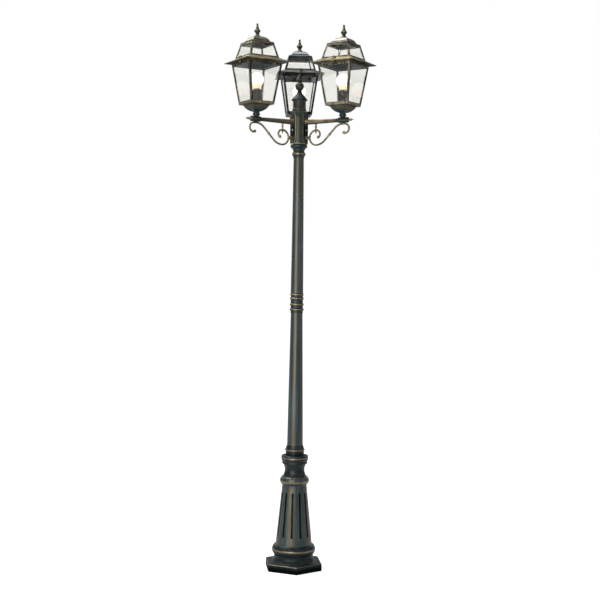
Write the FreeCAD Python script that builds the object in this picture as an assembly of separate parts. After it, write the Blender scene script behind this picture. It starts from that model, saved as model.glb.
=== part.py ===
import FreeCAD, Part
import math
import os

# Triple head lamp post. Millimetres, +Z up. The origin is the middle of the foot's flat underside, on the
# axis of the post. The front looks along -Y: one arm points to the rear (+Y), the other two forward.

# --- fits -------------------------------------------------------------------------------------------------
SEAT_GAP = 0.3            # between pieces that nest or rest without being clamped
RUNNING_GAP = 0.05        # radial play of a nut that turns on its stud
CASTING_WALL = 6.0        # wall of the hollow castings of the base
TUBE_WALL = 4.0           # wall of the two columns
SPIGOT_LENGTH = 30.0      # how far a spigot reaches into a column
SPIGOT_LEDGE = 2.0        # ledge left round a casting that stands on another
OVERCUT = 1.0             # how far a cutter runs past the face it opens
EDGE_BREAK = 2.0          # sloping break on the edges of the turned castings

# --- foot: hexagonal plate and bell -----------------------------------------------------------------------
FOOT_TURN = 5.5           # the nearest corner of the plate stands this many degrees to the right of the front
PLATE_ACROSS_CORNERS = 274.0
PLATE_THICKNESS = 32.0
PLATE_CHAMFER = 2.5
BELL_BASE_RADIUS = 101.0
BELL_FLARE_RADIUS = 90.0
BELL_FLARE_HEIGHT = 13.0  # above the plate
BELL_WAIST_RADIUS = 87.0
BELL_WAIST_HEIGHT = 32.0  # above the plate
ROLL_RADIUS = 97.0        # the thick roll above the bell
ROLL_CROWN_HEIGHT = 24.0  # above the waist
ROLL_HEIGHT = 46.0
ANCHOR_PITCH_CIRCLE = 236.0
ANCHOR_HOLE_DIAMETER = 11.0
ANCHOR_COUNT = 3
CABLE_HOLE_DIAMETER = 24.0
CABLE_HOLE_OFFSET = 50.0

# --- pedestal: tapered casting with grooves ---------------------------------------------------------------
PEDESTAL_TURN = 7.5       # the land between two grooves stands this many degrees right of the front
PEDESTAL_BASE_RADIUS = 81.0
PEDESTAL_TOP_RADIUS = 54.5
PEDESTAL_TAPER_HEIGHT = 263.0
PEDESTAL_WALL = 9.0
RING_RADIUS = 65.2
RING_HEIGHT = 36.0
RING_FILLET = 3.0
RING_CROWN_SHARE = 0.47   # height of the crown as a share of the ring
GROOVE_COUNT = 12
GROOVE_WIDTH = 9.5
GROOVE_DEPTH = 6.0
GROOVE_FOOT_MARGIN = 35.0
GROOVE_HEAD_MARGIN = 30.0

# --- pedestal neck: waist, cup and column seat ------------------------------------------------------------
WAIST_TOP_RADIUS = 51.5
WAIST_RADIUS = 44.0
WAIST_HEIGHT = 58.0
CUP_BAND_RADIUS = 56.5
CUP_BAND_HEIGHT = 12.0
CUP_LIP_RADIUS = 60.0
CUP_LIP_HEIGHT = 26.0
CUP_LIP_SLOPE = 6.0       # height of the lip's sloping underside
SOCKET_RADIUS = 41.0
SOCKET_HEIGHT = 16.0
SOCKET_RING_RADIUS = 44.0
SOCKET_RING_HEIGHT = 13.0
SOCKET_TAPER_HEIGHT = 16.0

# --- columns and their collars ----------------------------------------------------------------------------
LOWER_COLUMN_LENGTH = 588.0
LOWER_COLUMN_BASE_RADIUS = 35.5
LOWER_COLUMN_TOP_RADIUS = 26.4
MID_COLLAR_RADIUS = 27.7
MID_COLLAR_HEIGHT = 91.0
MID_BEADS = ((16.0, 32.4), (38.5, 30.9), (65.5, 30.9), (83.0, 30.0))   # height in the collar, radius
MID_BEAD_HEIGHT = 11.0
UPPER_COLUMN_LENGTH = 596.0
UPPER_COLUMN_BASE_RADIUS = 27.9
UPPER_COLUMN_TOP_RADIUS = 23.2
TOP_BEAD_RADIUS = 30.2
TOP_BEAD_RISE = 20.0      # middle of the bead above the column
TOP_BEAD_HEIGHT = 20.0
TOP_NECK_RADIUS = 25.0
TOP_NECK_HEIGHT = 34.0
TOP_FLANGE_RADIUS = 38.0
TOP_COLLAR_HEIGHT = 60.0

# --- hub --------------------------------------------------------------------------------------------------
HUB_HEIGHT = 148.0
HUB_CORE_RADIUS = 30.0
HUB_BORE_RADIUS = 24.0
HUB_FLOOR = 5.0
CABLE_PASS_RADIUS = 3.5
CABLE_PASS_OFFSET = 10.2  # from the axis, forward of the rod
PILASTER_RADIUS = 38.0
PILASTER_RIM_RADIUS = 40.0
PILASTER_HALF_WIDTH = 19.0
PILASTER_END_HALF_WIDTH = 28.0
PILASTER_FLARE = 32.0
PILASTER_RIM_WIDTH = 3.5
PILASTER_RIB_HALF_WIDTH = 9.0
SHOULDER_HEIGHT = 25.0
ARM_PAD_DISTANCE = 31.0
ARM_HEIGHT_IN_HUB = 100.0

# --- top of the hub: sleeve, cap and ball finial ----------------------------------------------------------
SLEEVE_RADIUS = 29.0
SLEEVE_HEIGHT = 50.0
SLEEVE_RING_RADIUS = 31.5
SLEEVE_RING_HEIGHT = 14.0
SLEEVE_WALL = 3.5
EAVE_RADIUS = 35.8
EAVE_THICKNESS = 3.5
CAP_SLOPE_RADIUS = 17.5
CAP_SLOPE_HEIGHT = 25.0
CAP_NECK_RADIUS = 9.0
CAP_HEIGHT = 44.0
CAP_WALL = 3.0
BALL_RADIUS = 19.6
BALL_NECK_RADIUS = 8.0
SPEAR_COLLAR_RADIUS = 14.0
SPEAR_COLLAR_RISE = 8.0   # above the ball
SPEAR_COLLAR_EDGE = 3.0
SPEAR_TIP_RADIUS = 3.4
SPEAR_HEIGHT = 40.0

# --- tie rod and the supply -------------------------------------------------------------------------------
ROD_RADIUS = 5.0
ROD_FOOT_RECESS = 16.0
ROD_PROUD = 3.0           # end of the rod below its nut
ROD_RECESS_RADIUS = 14.0
NUT_ACROSS_CORNERS = 18.5
NUT_HEIGHT = 8.0
WASHER_RADIUS = 12.0
WASHER_THICKNESS = 2.0
TERMINAL_LENGTH = 26.0
TERMINAL_WIDTH = 11.0
TERMINAL_HEIGHT = 14.0
TERMINAL_CLEARANCE = 3.0  # from the rod
TERMINAL_WELL = 4.0       # side and depth of the square wells over the clamping screws

# --- arms -------------------------------------------------------------------------------------------------
ARM_REACH = 217.0         # post axis to lantern axis
ARM_ROOT_HEIGHT = 22.0
ARM_ROOT_WIDTH = 18.0
ROOT_SWELL = 5.0          # thickening of the beam where it meets its plate
ROOT_SWELL_LENGTH = 7.0
ARM_END_HEIGHT = 16.0
ARM_END_WIDTH = 14.0
ARM_EDGE_CHAMFER = 0.28   # share of the section's smaller side
ARM_PLATE_WIDTH = 27.0
ARM_PLATE_THICKNESS = 3.5
ARM_PLATE_DROP = 58.0     # below the arm's axis
ARM_PLATE_RISE = 17.0
TEE_RADIUS = 12.0
TEE_INNER_LENGTH = 21.0
TEE_OUTER_LENGTH = 30.0
TEE_FLAT_HEIGHT = 10.5    # the seat of the lantern neck above the arm's axis
SCREW_DROP = 35.0
SCREW_SHANK_RADIUS = 2.5
SCREW_HEAD_RADIUS = 4.6
SCREW_HEAD_HEIGHT = 2.2

# --- scroll bracket, measured in the plane of the arm: reach from the post axis, drop below the arm -------
SCROLL_THICKNESS = 7.8
LOOP_REACH = 87.0
LOOP_DROP = 70.0
LOOP_RADIUS = 32.5
INNER_CURL_RADIUS = 18.5
INNER_CURL_SWEEP = 140.0
LOWER_BEND_RADIUS = 58.0
UPPER_BEND_RADIUS = 52.0
OUTER_CURL_RADIUS = 20.5
OUTER_CURL_SWEEP = 195.0
OUTER_CURL_REACH = 228.0
TEE_CONTACT_REACH = 217.0
EYE_RADIUS = 6.6
EYE_THICKNESS = 10.4
EYE_SIDES = 12
KNUCKLE_LENGTH = 11.0
KNUCKLE_SIZE = 12.0
HANGER_REACH = 85.0
HANGER_RADIUS = 3.4
HANGER_BEAD_RADIUS = 5.6
TRIM_SIDES = 8
LEAF_LENGTH = 15.0
LEAF_RADIUS = 4.2
LUG_HEIGHT = 14.0

# --- spear on the end of the tee --------------------------------------------------------------------------
TIP_NECK_RADIUS = 3.0
TIP_BALL_RADIUS = 5.8
TIP_POINT_RADIUS = 0.8
TIP_LENGTH = 24.0

# --- lantern neck and bowl, heights above the arm's axis --------------------------------------------------
SEAT_NECK_RADIUS = 11.6
SEAT_RING_RADIUS = 16.0
SEAT_RING_LOW = 16.5
SEAT_RING_HIGH = 25.0
BOWL_FOOT_HALF = 14.0
BOWL_HALF = 42.0
BOWL_SWELL_SHARE = 0.6    # of the way from the foot's half side to the rim's
BOWL_SWELL_HEIGHT = 0.36  # of the way up
BOWL_BOTTOM = 31.0
BOWL_WALL = 4.0

# --- lantern body -----------------------------------------------------------------------------------------
BODY_BOTTOM = 60.0
BODY_HEIGHT = 175.0
BODY_BOTTOM_HALF = 56.5
BODY_TOP_HALF = 81.25
FRAME_WALL = 3.0
POST_WIDTH = 9.0
BOTTOM_BAND = 13.0
TOP_BAND = 7.0
TOP_FLANGE_HALF = 64.0
TOP_FLANGE_THICKNESS = 3.0
PANE_THICKNESS = 3.0
PANE_SIDE_INSET = 4.5

# --- lift-off roof ----------------------------------------------------------------------------------------
BRIM_HALF = 105.5
BRIM_EDGE_RISE = 6.0      # underside of the brim's edge above the body
BRIM_THICKNESS = 2.6
SKIRT_HALF = 70.5
SKIRT_RISE = 26.0         # foot of the raked skirt above the body
SKIRT_WALL = 2.6
SKIRT_HEIGHT = 63.0
SKIRT_TOP_HALF = 54.0
SKIRT_BAR_WIDTH = 8.0
SKIRT_BOTTOM_RAIL = 6.0
SKIRT_TOP_RAIL = 8.0
PANE_LEDGE = 5.0
TOP_LIP = 8.0
NUT_DISTANCE = 82.0       # lantern axis to thumb nut
STUD_RADIUS = 2.0
STUD_HOLE_CLEARANCE = 0.4
BOSS_RADIUS = 5.5
PAD_RADIUS = 8.0
PAD_HEIGHT = 6.0
PAD_PROUD = 0.2
THUMB_NUT_RADIUS = 8.0
THUMB_NUT_EDGE = 2.2
THUMB_NUT_HEIGHT = 6.5
THUMB_NUT_BORE_DEPTH = 4.5

# --- dome and finial --------------------------------------------------------------------------------------
DOME_EDGE = 4.0
DOME_FOOT_HALF = 40.0
DOME_FOOT_RISE = 10.0
DOME_CROWN_HALF = 14.0
DOME_SWELL_SHARE = 0.66   # of the way from the crown's half side to the foot's
DOME_SWELL_HEIGHT = 0.66  # of the way up
DOME_HEIGHT = 31.0
DOME_WALL = 3.0
FINIAL_FOOT_RADIUS = 16.5
FINIAL_FOOT_HEIGHT = 13.0
FINIAL_NECK_RADIUS = 7.0
FINIAL_COLLAR_RADIUS = 14.0
FINIAL_COLLAR_HEIGHT = 25.0  # middle of the collar above the dome
FINIAL_COLLAR_EDGE = 3.0
FINIAL_CONE_RADIUS = 9.5
FINIAL_TIP_RADIUS = 4.8
FINIAL_TIP_LENGTH = 11.0
FINIAL_HEIGHT = 57.0
FINIAL_STUD_RADIUS = 3.0
FINIAL_STUD_LENGTH = 12.0

# --- lampholder and lamp ----------------------------------------------------------------------------------
HOLDER_RADIUS = 24.0
HOLDER_HEIGHT = 62.0
HOLDER_FOOT_RADIUS = 20.0
HOLDER_FOOT_HEIGHT = 8.0
HOLDER_WALL = 3.0
HOLDER_LIP = 5.0
CAP_SHELL_RADIUS = 13.4
CAP_SHELL_LENGTH = 24.0
CAP_CONTACT_RADIUS = 5.0
CAP_CONTACT_LENGTH = 3.0
CAP_PROUD = 7.0           # how far the shell stands out of the holder's top
BULB_RADIUS = 30.0
BULB_NECK_RADIUS = 16.5
BULB_SHOULDER = 6.0       # from the shell up to the glass neck's full width
BULB_GLOBE_LEAN = 35.0    # degrees below level at which the neck meets the globe
BULB_LENGTH = 68.0        # glass only

# --- the three arms -----------------------------------------------------------------------------------------
# name, direction in degrees from +X, turn of the roof nuts on the lantern, turn of the lantern on its neck
ARMS = (("left", 210.0, 0.0, 0.0), ("right", 330.0, 90.0, -3.5), ("rear", 90.0, 0.0, 4.0))
FRONT_DIRECTION = 270.0

# --- heights worked out from the pieces -------------------------------------------------------------------
FOOT_TOP = PLATE_THICKNESS + BELL_WAIST_HEIGHT + ROLL_HEIGHT
PEDESTAL_TOP = FOOT_TOP + PEDESTAL_TAPER_HEIGHT + RING_HEIGHT + RING_FILLET
NECK_CUP_BASE = PEDESTAL_TOP + WAIST_HEIGHT
NECK_SOCKET_BASE = NECK_CUP_BASE + CUP_BAND_HEIGHT + CUP_LIP_HEIGHT
NECK_TOP = NECK_SOCKET_BASE + SOCKET_HEIGHT + SOCKET_RING_HEIGHT + SOCKET_TAPER_HEIGHT
LOWER_COLUMN_TOP = NECK_TOP + LOWER_COLUMN_LENGTH
MID_COLLAR_TOP = LOWER_COLUMN_TOP + MID_COLLAR_HEIGHT
UPPER_COLUMN_TOP = MID_COLLAR_TOP + UPPER_COLUMN_LENGTH
HUB_BASE = UPPER_COLUMN_TOP + TOP_COLLAR_HEIGHT
HUB_TOP = HUB_BASE + HUB_HEIGHT
SLEEVE_TOP = HUB_TOP + SLEEVE_HEIGHT
CAP_TOP = SLEEVE_TOP + CAP_HEIGHT
ARM_LEVEL = HUB_BASE + ARM_HEIGHT_IN_HUB
BODY_TOP = BODY_BOTTOM + BODY_HEIGHT
SKIRT_FOOT = BODY_TOP + SKIRT_RISE
SKIRT_TOP = SKIRT_FOOT + SKIRT_HEIGHT
DOME_CROWN = SKIRT_TOP + DOME_HEIGHT
FLOOR_TOP = BODY_BOTTOM + FRAME_WALL

ORIGIN = FreeCAD.Vector(0, 0, 0)
UP = FreeCAD.Vector(0, 0, 1)
ALONG_X = FreeCAD.Vector(1, 0, 0)
ALONG_Y = FreeCAD.Vector(0, 1, 0)


# --- drawing helpers --------------------------------------------------------------------------------------
def point(place):
    """A point of an upright outline: (across, height)."""
    return FreeCAD.Vector(place[0], 0, place[1])


def outline_edges(steps):
    """Edges through the steps: a step is a place, or a pair for an arc through the first to the second."""
    edges = []
    here = steps[0]
    for step in steps[1:]:
        if isinstance(step[0], tuple):
            via, end = step
            edges.append(Part.Arc(point(here), point(via), point(end)).toShape())
        else:
            end = step
            edges.append(Part.makeLine(point(here), point(end)))
        here = end
    return edges


def turned(steps):
    """Solid turned about Z from a closed outline of (radius, height) steps."""
    edges = outline_edges(steps + [steps[0]])
    return Part.Face(Part.Wire(edges)).revolve(ORIGIN, UP, 360)


def rounded(start, via, end, chords):
    """Steps along the arc from the start through a place to the end, in equal chords."""
    arc = Part.Arc(point(start), point(via), point(end))
    steps = []
    for number in range(chords + 1):
        spot = arc.value(share(arc.FirstParameter, arc.LastParameter, number / chords))
        steps.append((spot.x, spot.z))
    return steps


def bead(seat_radius, radius, middle, height):
    """Steps of a raised ring with sloping shoulders: out from the seat, along its crown and back."""
    crown = 0.18 * height
    return [(seat_radius, middle - height / 2), (radius, middle - crown), (radius, middle + crown),
            (seat_radius, middle + height / 2)]


def faceted(profile, sides):
    """Many-sided solid about Z through (radius, height) steps, for small trim."""
    sections = []
    for radius, height in profile:
        corners = []
        for number in range(sides + 1):
            angle = 2 * math.pi * (number + 0.5) / sides
            corners.append(FreeCAD.Vector(radius * math.cos(angle), radius * math.sin(angle), height))
        sections.append(Part.makePolygon(corners))
    return Part.makeLoft(sections, True, True)


def rod(radius, low, high, x=0.0, y=0.0):
    """Upright cylinder between two heights."""
    return Part.makeCylinder(radius, high - low, FreeCAD.Vector(x, y, low), UP)


def square_plan(side):
    """Solid with a square plan whose four sides follow the steps (half side, height), from bottom to top."""
    right = outline_edges(side)
    left = [edge.mirror(ORIGIN, ALONG_X) for edge in right]
    low = side[0]
    last = side[-1]
    high = last[1] if isinstance(last[0], tuple) else last
    floor = Part.makeLine(point((-low[0], low[1])), point(low))
    ceiling = Part.makeLine(point((-high[0], high[1])), point(high))
    wire = Part.Wire(Part.__sortEdges__(right + left + [floor, ceiling]))
    reach = 2 * max(edge.BoundBox.XMax for edge in right) + OVERCUT
    slab = Part.Face(wire).extrude(ALONG_Y * reach)
    slab.translate(ALONG_Y * (-reach / 2))
    crossed = slab.copy()
    crossed.rotate(ORIGIN, UP, 90)
    return slab.common(crossed)


def through_window(low_half, low, high_half, high, reach):
    """Cutter through two opposite sides: an upright trapezium drawn along Y."""
    corners = [(-low_half, low), (low_half, low), (high_half, high), (-high_half, high), (-low_half, low)]
    cutter = Part.Face(Part.Wire(outline_edges(corners))).extrude(ALONG_Y * (2 * reach))
    cutter.translate(ALONG_Y * -reach)
    return cutter


def crossed_windows(low_half, low, high_half, high, reach):
    """The same cutter through all four sides."""
    one = through_window(low_half, low, high_half, high, reach)
    other = one.copy()
    other.rotate(ORIGIN, UP, 90)
    return one, other


def cut_all(solid, cutters):
    """The solid less each cutter in turn."""
    for cutter in cutters:
        solid = solid.cut(cutter)
    return solid


def join_all(solid, others):
    """The solid fused with each of the others."""
    for other in others:
        solid = solid.fuse(other)
    return solid.removeSplitter()


def turned_about(solid, degrees):
    """A copy turned about the post axis."""
    copy = solid.copy()
    copy.rotate(ORIGIN, UP, degrees)
    return copy


def share(low, high, part):
    """Value that lies the given part of the way from low to high."""
    return low + (high - low) * part


# --- post -------------------------------------------------------------------------------------------------
def hex_plate():
    """Six-sided plate with its upper edges chamfered."""
    radius = PLATE_ACROSS_CORNERS / 2
    corners = []
    for step in range(7):
        angle = math.radians(step * 60)
        corners.append(FreeCAD.Vector(radius * math.cos(angle), radius * math.sin(angle), 0))
    plate = Part.Face(Part.makePolygon(corners)).extrude(UP * PLATE_THICKNESS)
    rim = [edge for edge in plate.Edges if min(v.Z for v in edge.Vertexes) > PLATE_THICKNESS / 2]
    return plate.makeChamfer(PLATE_CHAMFER, rim)


def foot():
    """Hexagonal plate, bell and roll, hollow above the plate, with the anchor, cable and rod holes."""
    waist = PLATE_THICKNESS + BELL_WAIST_HEIGHT
    flare = rounded((BELL_BASE_RADIUS, PLATE_THICKNESS),
                    (BELL_FLARE_RADIUS, PLATE_THICKNESS + BELL_FLARE_HEIGHT), (BELL_WAIST_RADIUS, waist), 4)
    roll = rounded((BELL_WAIST_RADIUS, waist), (ROLL_RADIUS, waist + ROLL_CROWN_HEIGHT),
                   (PEDESTAL_BASE_RADIUS + SPIGOT_LEDGE, FOOT_TOP), 8)
    bell = turned([(0, 0), (BELL_BASE_RADIUS, 0)] + flare + roll[1:] + [(0, FOOT_TOP)])
    body = hex_plate().fuse(bell)
    wall = BELL_WAIST_RADIUS - CASTING_WALL
    draw_in = CASTING_WALL * (PEDESTAL_BASE_RADIUS - PEDESTAL_TOP_RADIUS) / PEDESTAL_TAPER_HEIGHT
    mouth = PEDESTAL_BASE_RADIUS - PEDESTAL_WALL - draw_in - SEAT_GAP - CASTING_WALL
    hollow = turned([(0, PLATE_THICKNESS), (wall, PLATE_THICKNESS), (wall, FOOT_TOP - 2 * CASTING_WALL),
                     (mouth, FOOT_TOP - CASTING_WALL), (mouth, FOOT_TOP + CASTING_WALL + OVERCUT),
                     (0, FOOT_TOP + CASTING_WALL + OVERCUT)])
    spigot = rod(mouth + CASTING_WALL, FOOT_TOP - CASTING_WALL, FOOT_TOP + CASTING_WALL)
    body = body.fuse(spigot).cut(hollow)
    holes = [rod(ROD_RADIUS + SEAT_GAP, -OVERCUT, PLATE_THICKNESS + OVERCUT)]
    holes.append(rod(ROD_RECESS_RADIUS, -OVERCUT, ROD_FOOT_RECESS))
    holes.append(rod(CABLE_HOLE_DIAMETER / 2, -OVERCUT, PLATE_THICKNESS + OVERCUT, -CABLE_HOLE_OFFSET))
    for number in range(ANCHOR_COUNT):
        angle = math.radians(60 + number * 360 / ANCHOR_COUNT)
        x = ANCHOR_PITCH_CIRCLE / 2 * math.cos(angle)
        y = ANCHOR_PITCH_CIRCLE / 2 * math.sin(angle)
        holes.append(rod(ANCHOR_HOLE_DIAMETER / 2, -OVERCUT, PLATE_THICKNESS + OVERCUT, x, y))
    body = cut_all(body, holes).removeSplitter()
    return turned_about(body, FRONT_DIRECTION + FOOT_TURN)


def groove_cutter():
    """Round-ended groove that follows the slope of the pedestal, at the front of +X."""
    slope = math.atan2(PEDESTAL_BASE_RADIUS - PEDESTAL_TOP_RADIUS, PEDESTAL_TAPER_HEIGHT)
    low = FOOT_TOP + GROOVE_FOOT_MARGIN + GROOVE_WIDTH / 2
    high = FOOT_TOP + PEDESTAL_TAPER_HEIGHT - GROOVE_HEAD_MARGIN - GROOVE_WIDTH / 2
    length = (high - low) / math.cos(slope)
    half = GROOVE_WIDTH / 2
    corner = [FreeCAD.Vector(0, -half, 0), FreeCAD.Vector(0, -half, length),
              FreeCAD.Vector(0, half, length), FreeCAD.Vector(0, half, 0)]
    edges = [Part.makeLine(corner[0], corner[1])]
    edges.append(Part.Arc(corner[1], FreeCAD.Vector(0, 0, length + half), corner[2]).toShape())
    edges.append(Part.makeLine(corner[2], corner[3]))
    edges.append(Part.Arc(corner[3], FreeCAD.Vector(0, 0, -half), corner[0]).toShape())
    cutter = Part.Face(Part.Wire(edges)).extrude(ALONG_X * (2 * GROOVE_DEPTH))
    cutter.rotate(ORIGIN, ALONG_Y, -math.degrees(slope))
    rise = (low - FOOT_TOP) / PEDESTAL_TAPER_HEIGHT
    surface = share(PEDESTAL_BASE_RADIUS, PEDESTAL_TOP_RADIUS, rise)
    cutter.translate(FreeCAD.Vector(surface - GROOVE_DEPTH / math.cos(slope), 0, low))
    return cutter


def pedestal():
    """Tapered casting with its ring of grooves and the ring at its head."""
    ring_foot = FOOT_TOP + PEDESTAL_TAPER_HEIGHT
    ring = rounded((PEDESTAL_TOP_RADIUS + 1, ring_foot + RING_FILLET),
                   (RING_RADIUS, ring_foot + RING_FILLET + RING_CROWN_SHARE * RING_HEIGHT),
                   (PEDESTAL_TOP_RADIUS + SPIGOT_LEDGE, PEDESTAL_TOP), 7)
    body = turned([(PEDESTAL_BASE_RADIUS - PEDESTAL_WALL, FOOT_TOP), (PEDESTAL_BASE_RADIUS, FOOT_TOP),
                   (PEDESTAL_TOP_RADIUS, ring_foot)] + ring +
                  [(WAIST_RADIUS - CASTING_WALL, PEDESTAL_TOP),
                   (WAIST_RADIUS - CASTING_WALL, PEDESTAL_TOP - 2 * CASTING_WALL),
                   (PEDESTAL_TOP_RADIUS - PEDESTAL_WALL, ring_foot)])
    cutter = groove_cutter()
    cutters = []
    for number in range(GROOVE_COUNT):
        cutters.append(turned_about(cutter, (number + 0.5) * 360 / GROOVE_COUNT))
    body = body.cut(cutters)
    return turned_about(body, FRONT_DIRECTION + PEDESTAL_TURN)


def column_bore(top_radius):
    """Bore of a column, set by the wall at its thin end."""
    return top_radius - TUBE_WALL


def pedestal_neck():
    """Waisted casting with the cup, the column seat above it and a spigot at each end."""
    bore = WAIST_RADIUS - 2 * CASTING_WALL - SEAT_GAP
    spigot = WAIST_RADIUS - CASTING_WALL - SEAT_GAP
    column_spigot = column_bore(LOWER_COLUMN_TOP_RADIUS) - SEAT_GAP
    band_top = NECK_CUP_BASE + CUP_BAND_HEIGHT
    lip_top = NECK_SOCKET_BASE - EDGE_BREAK
    ring_middle = NECK_SOCKET_BASE + SOCKET_HEIGHT + SOCKET_RING_HEIGHT / 2
    narrow = min(bore, column_spigot - CASTING_WALL)
    waist = rounded((PEDESTAL_TOP_RADIUS, PEDESTAL_TOP), (WAIST_RADIUS, PEDESTAL_TOP + WAIST_HEIGHT / 2),
                    (WAIST_TOP_RADIUS, NECK_CUP_BASE - EDGE_BREAK), 8)
    return turned([(bore, PEDESTAL_TOP - CASTING_WALL), (spigot, PEDESTAL_TOP - CASTING_WALL),
                   (spigot, PEDESTAL_TOP)] + waist +
                  [(CUP_BAND_RADIUS, NECK_CUP_BASE), (CUP_BAND_RADIUS, band_top - EDGE_BREAK),
                   (CUP_LIP_RADIUS, band_top + CUP_LIP_SLOPE), (CUP_LIP_RADIUS, lip_top - EDGE_BREAK),
                   (CUP_LIP_RADIUS - EDGE_BREAK, lip_top), (SOCKET_RADIUS, NECK_SOCKET_BASE)] +
                  bead(SOCKET_RADIUS, SOCKET_RING_RADIUS, ring_middle, SOCKET_RING_HEIGHT) +
                  [(LOWER_COLUMN_BASE_RADIUS + SEAT_GAP, NECK_TOP), (column_spigot, NECK_TOP),
                   (column_spigot, NECK_TOP + SPIGOT_LENGTH), (narrow, NECK_TOP + SPIGOT_LENGTH),
                   (narrow, NECK_CUP_BASE), (bore, NECK_CUP_BASE - CASTING_WALL)])


def column(base, length, base_radius, top_radius):
    """Tapered column with a straight bore."""
    top = base + length
    bore = column_bore(top_radius)
    return turned([(bore, base), (base_radius, base), (top_radius, top), (bore, top)])


def mid_collar():
    """Beaded coupler with a spigot into each column."""
    low_spigot = column_bore(LOWER_COLUMN_TOP_RADIUS) - SEAT_GAP
    high_spigot = column_bore(UPPER_COLUMN_TOP_RADIUS) - SEAT_GAP
    bore = min(low_spigot, high_spigot) - TUBE_WALL
    profile = [(bore, LOWER_COLUMN_TOP - SPIGOT_LENGTH), (low_spigot, LOWER_COLUMN_TOP - SPIGOT_LENGTH),
               (low_spigot, LOWER_COLUMN_TOP), (MID_COLLAR_RADIUS, LOWER_COLUMN_TOP)]
    for height, radius in MID_BEADS:
        profile += bead(MID_COLLAR_RADIUS, radius, LOWER_COLUMN_TOP + height, MID_BEAD_HEIGHT)
    profile += [(MID_COLLAR_RADIUS, MID_COLLAR_TOP), (high_spigot, MID_COLLAR_TOP),
                (high_spigot, MID_COLLAR_TOP + SPIGOT_LENGTH), (bore, MID_COLLAR_TOP + SPIGOT_LENGTH)]
    return turned(profile)


def top_collar():
    """Beaded collar: spigot in the upper column, bead, narrow neck and the ogee flange under the hub."""
    spigot = column_bore(UPPER_COLUMN_TOP_RADIUS) - SEAT_GAP
    bore = spigot - TUBE_WALL
    neck = UPPER_COLUMN_TOP + TOP_NECK_HEIGHT
    return turned([(bore, UPPER_COLUMN_TOP - SPIGOT_LENGTH), (spigot, UPPER_COLUMN_TOP - SPIGOT_LENGTH),
                   (spigot, UPPER_COLUMN_TOP), (UPPER_COLUMN_TOP_RADIUS + 0.6, UPPER_COLUMN_TOP)] +
                  bead(TOP_NECK_RADIUS, TOP_BEAD_RADIUS, UPPER_COLUMN_TOP + TOP_BEAD_RISE, TOP_BEAD_HEIGHT) +
                  rounded((TOP_NECK_RADIUS, neck), (TOP_FLANGE_RADIUS - 9, neck + 9),
                          (TOP_FLANGE_RADIUS, HUB_BASE - 9), 4) +
                  [(TOP_FLANGE_RADIUS, HUB_BASE - 3), (TOP_FLANGE_RADIUS - 2, HUB_BASE), (bore, HUB_BASE)])


def vase_prism(half_width, end_half_width):
    """Upright vase outline, drawn outwards along +X through the hub's wall."""
    low = HUB_BASE + EDGE_BREAK
    high = HUB_TOP - EDGE_BREAK
    swell = share(end_half_width, half_width, 0.75)
    foot_flare = rounded((end_half_width, low), (swell, low + PILASTER_FLARE / 2),
                         (half_width, low + PILASTER_FLARE), 2)
    head_flare = rounded((half_width, high - PILASTER_FLARE), (swell, high - PILASTER_FLARE / 2),
                         (end_half_width, high), 2)
    right = outline_edges(foot_flare + head_flare)
    left = [edge.mirror(ORIGIN, ALONG_X) for edge in right]
    floor = Part.makeLine(point((-end_half_width, low)), point((end_half_width, low)))
    ceiling = Part.makeLine(point((-end_half_width, high)), point((end_half_width, high)))
    wire = Part.Wire(Part.__sortEdges__(right + left + [floor, ceiling]))
    prism = Part.Face(wire).extrude(ALONG_Y * (PILASTER_RIM_RADIUS + OVERCUT))
    prism.rotate(ORIGIN, UP, -90)
    return prism


def pilaster_blank(radius):
    """Turned blank that a pilaster is cut from, drawn in at its shoulder."""
    low = HUB_BASE + EDGE_BREAK
    high = HUB_TOP - EDGE_BREAK
    root = HUB_CORE_RADIUS - EDGE_BREAK
    return turned([(root, low), (radius - EDGE_BREAK, low), (radius, low + 2 * EDGE_BREAK),
                   (radius, high - SHOULDER_HEIGHT), (HUB_CORE_RADIUS + 1, high), (root, high)])


def pilaster():
    """Raised vase-shaped panel with a beaded rim and a straight rib up its middle."""
    vase = vase_prism(PILASTER_HALF_WIDTH, PILASTER_END_HALF_WIDTH)
    inner = vase_prism(PILASTER_HALF_WIDTH - PILASTER_RIM_WIDTH, PILASTER_END_HALF_WIDTH - PILASTER_RIM_WIDTH)
    field = pilaster_blank(PILASTER_RADIUS).common(vase)
    rim = pilaster_blank(PILASTER_RIM_RADIUS).common(vase).cut(inner)
    strip = Part.makeBox(PILASTER_RIM_RADIUS, 2 * PILASTER_RIB_HALF_WIDTH, HUB_HEIGHT,
                         FreeCAD.Vector(0, -PILASTER_RIB_HALF_WIDTH, HUB_BASE))
    rib = pilaster_blank(share(PILASTER_RADIUS, PILASTER_RIM_RADIUS, 0.6)).common(strip)
    return join_all(field, [rim, rib])


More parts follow.
